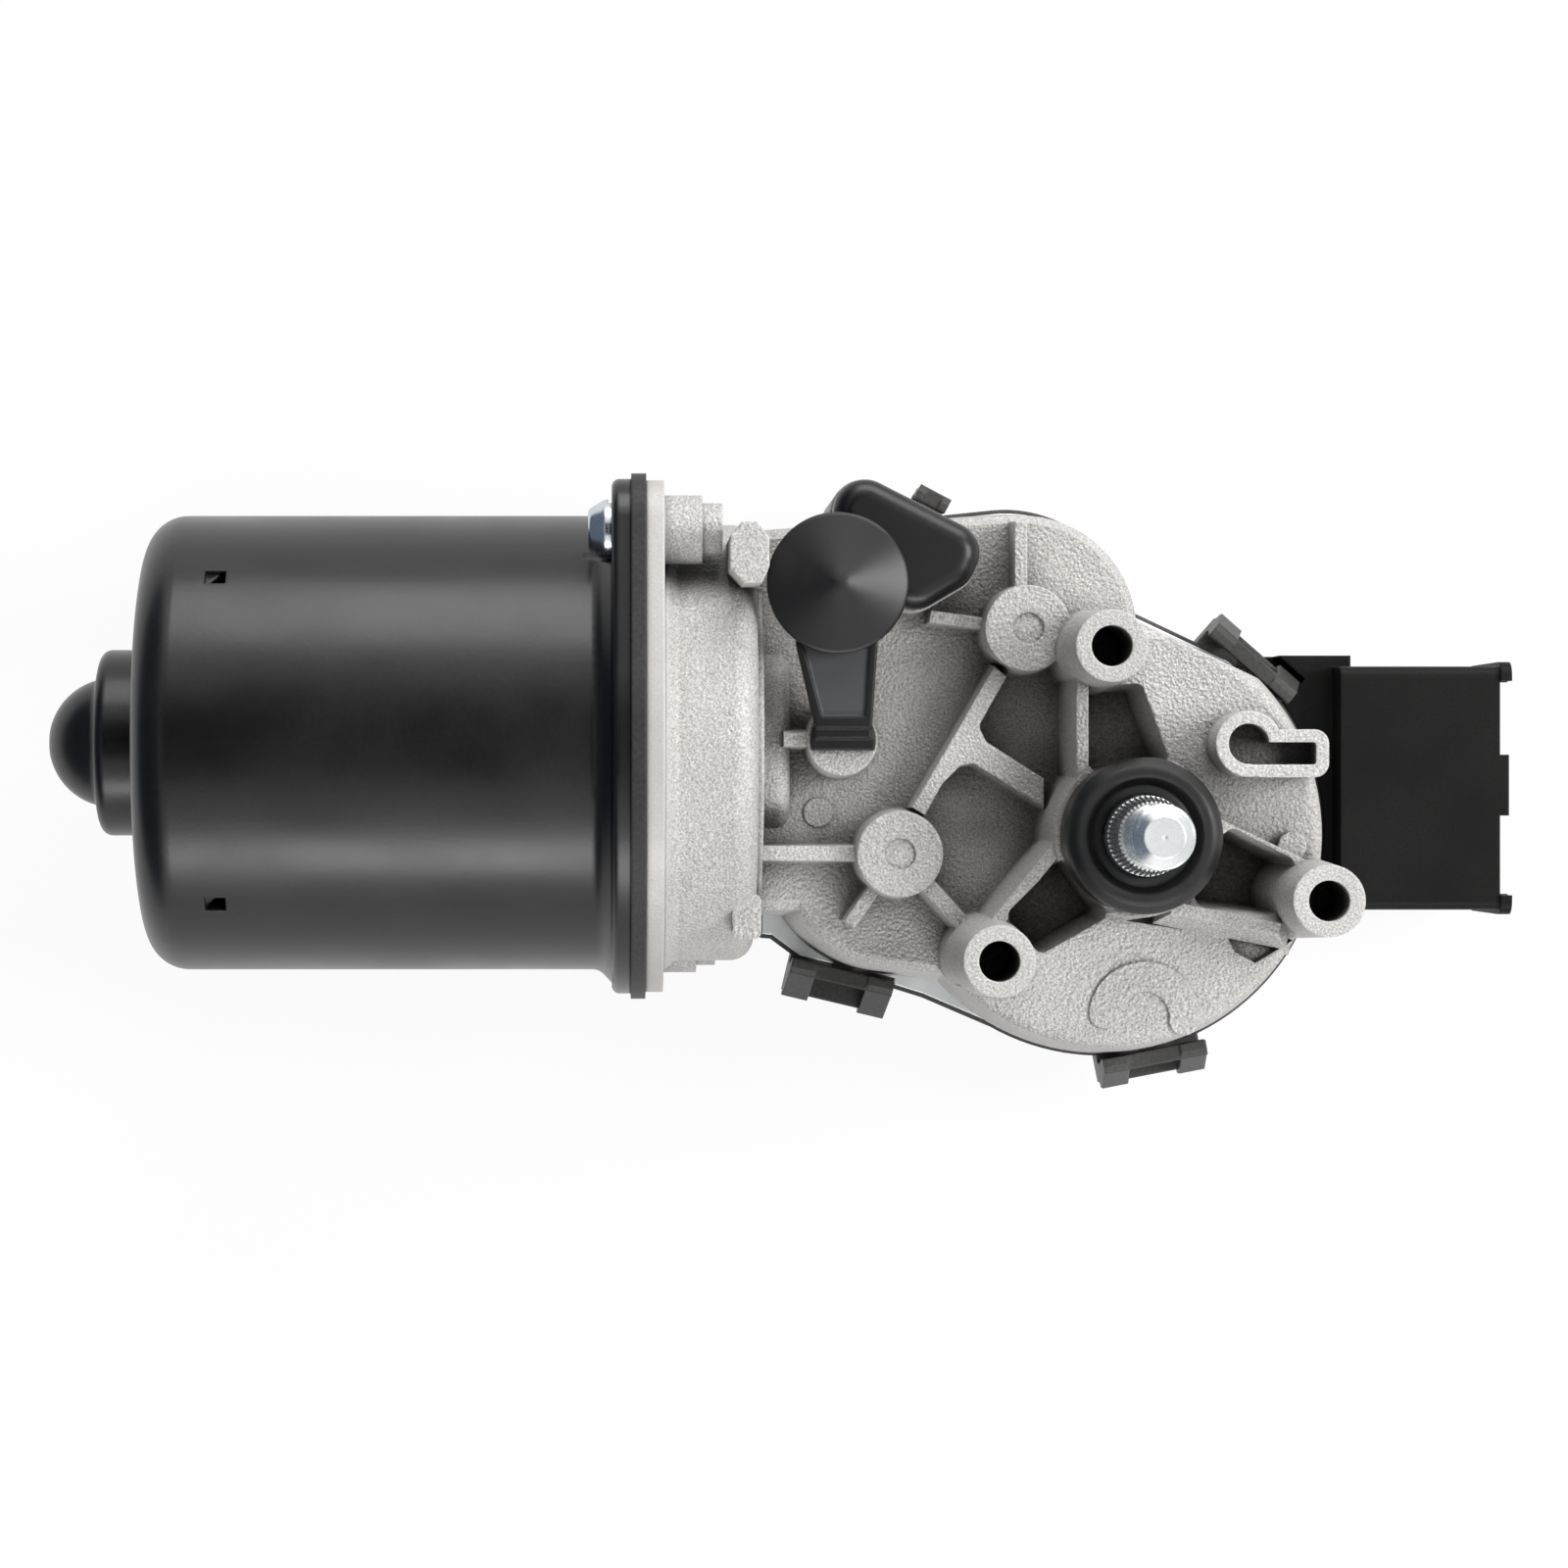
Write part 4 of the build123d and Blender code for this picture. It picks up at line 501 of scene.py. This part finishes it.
# Camera at the photograph's angle
def camera():
    data = bpy.data.cameras.new("camera")
    data.sensor_width = 36.0
    data.lens = 96.32
    data.shift_x = 0.105625
    data.shift_y = 0.00625
    data.clip_start = 0.01
    data.clip_end = 20.0
    thing = bpy.data.objects.new("camera", data)
    thing.location = (-0.06554, 0.005235, 0.520)
    bpy.context.scene.collection.objects.link(thing)
    bpy.context.scene.camera = thing


camera()


# Floor, cards, lamps and surroundings
def seen_ray(tree):
    """1 for rays from the camera, off gloss and through glass, else 0."""
    path = tree.nodes.new("ShaderNodeLightPath")
    seen = path.outputs["Is Camera Ray"]
    for name in ("Is Glossy Ray", "Is Transmission Ray"):
        higher = tree.nodes.new("ShaderNodeMath")
        higher.operation = "MAXIMUM"
        tree.links.new(seen, higher.inputs[0])
        tree.links.new(path.outputs[name], higher.inputs[1])
        seen = higher.outputs[0]
    return seen


def show_white(tree, surface, white, share=1.0):
    """Lays a share of white over a surface for the rays that see the background."""
    part = tree.nodes.new("ShaderNodeMath")
    part.operation = "MULTIPLY"
    part.inputs[1].default_value = share
    tree.links.new(seen_ray(tree), part.inputs[0])
    mix = tree.nodes.new("ShaderNodeMixShader")
    tree.links.new(part.outputs[0], mix.inputs["Fac"])
    tree.links.new(surface, mix.inputs[1])
    tree.links.new(white, mix.inputs[2])
    return mix.outputs[0]


def node_material(name):
    material = bpy.data.materials.new(name)
    material.use_nodes = True
    return material, material.node_tree


def sheet_of(name, corners, material):
    mesh = bpy.data.meshes.new(name)
    mesh.from_pydata(corners, [], [(0, 1, 2, 3)])
    mesh.materials.append(material)
    thing = bpy.data.objects.new(name, mesh)
    bpy.context.scene.collection.objects.link(thing)
    return thing


def floor(height):
    """Pale floor that is white where seen and dim to other rays, and keeps the shadow."""
    material, tree = node_material("floor")
    diffuse = tree.nodes["Principled BSDF"]
    diffuse.inputs["Roughness"].default_value = 0.9
    tint = tree.nodes.new("ShaderNodeMix")
    tint.data_type = "RGBA"
    tint.inputs[COLOR_A].default_value = (0.15, 0.15, 0.15, 1)
    tint.inputs[COLOR_B].default_value = (1.0, 1.0, 1.0, 1)
    tree.links.new(seen_ray(tree), tint.inputs["Factor"])
    tree.links.new(tint.outputs[COLOR_RESULT], diffuse.inputs["Base Color"])
    glow = tree.nodes.new("ShaderNodeEmission")
    glow.inputs["Strength"].default_value = 1.025
    shown = show_white(tree, diffuse.outputs[0], glow.outputs[0], 0.89)
    tree.links.new(shown, tree.nodes["Material Output"].inputs["Surface"])
    half = 3.0
    corners = [(x * half, y * half, height) for x, y in ((-1, -1), (1, -1), (1, 1), (-1, 1))]
    sheet_of("floor", corners, material)


def card(name, tone, corners):
    """A dark sheet beside or over the object that shows only in its reflections."""
    material, tree = node_material(name)
    glow = tree.nodes.new("ShaderNodeEmission")
    glow.inputs["Color"].default_value = (*tone, 1)
    tree.links.new(glow.outputs[0], tree.nodes["Material Output"].inputs["Surface"])
    sheet = sheet_of(name, corners, material)
    sheet.visible_camera = False
    sheet.visible_diffuse = False
    sheet.visible_shadow = False


def surroundings():
    """Dim light from all round, white to the rays that see the background."""
    world = bpy.data.worlds.new("world")
    bpy.context.scene.world = world
    world.use_nodes = True
    tree = world.node_tree
    ambient = tree.nodes["Background"]
    ambient.inputs["Color"].default_value = (1, 1, 1, 1)
    ambient.inputs["Strength"].default_value = 0.07
    white = tree.nodes.new("ShaderNodeBackground")
    white.inputs["Color"].default_value = (1, 1, 1, 1)
    shown = show_white(tree, ambient.outputs[0], white.outputs[0])
    tree.links.new(shown, tree.nodes["World Output"].inputs["Surface"])


def softbox(name, place, target, width, height, energy):
    data = bpy.data.lights.new(name, "AREA")
    data.shape = "RECTANGLE"
    data.size = width
    data.size_y = height
    data.energy = energy
    thing = bpy.data.objects.new(name, data)
    thing.location = place
    direction = Vector(target) - Vector(place)
    thing.rotation_euler = direction.to_track_quat("-Z", "Y").to_euler()
    thing.visible_camera = False
    bpy.context.scene.collection.objects.link(thing)


floor_height = cad_bounds[0][2] - 0.5 * MM
card_x, card_top = -0.40, 0.50
roof_height = 0.56
whole_motor = (-0.04, 0.0, -0.02)
gear_end = (0.0, 0.0, -0.02)
floor(floor_height)
card("left_card", (0.12, 0.15, 0.20), [
    (card_x, y, z) for y, z in (
        (-0.6, floor_height), (0.6, floor_height), (0.6, card_top), (-0.6, card_top))])
card("roof_card", (0.0, 0.0, 0.0), [
    (x, y, roof_height) for x, y in (
        (-0.36, -0.20), (-0.02, -0.20), (-0.02, 0.32), (-0.36, 0.32))])
surroundings()
softbox("upper_box", (0.10, 0.60, 0.25), whole_motor, 0.7, 0.42, 4.0)
softbox("lower_box", (0.05, -0.60, 0.36), whole_motor, 0.7, 0.22, 3.0)
softbox("right_box", (0.55, 0.10, 0.55), gear_end, 0.35, 0.35, 4.0)

scene = bpy.context.scene
scene.view_settings.view_transform = "Standard"
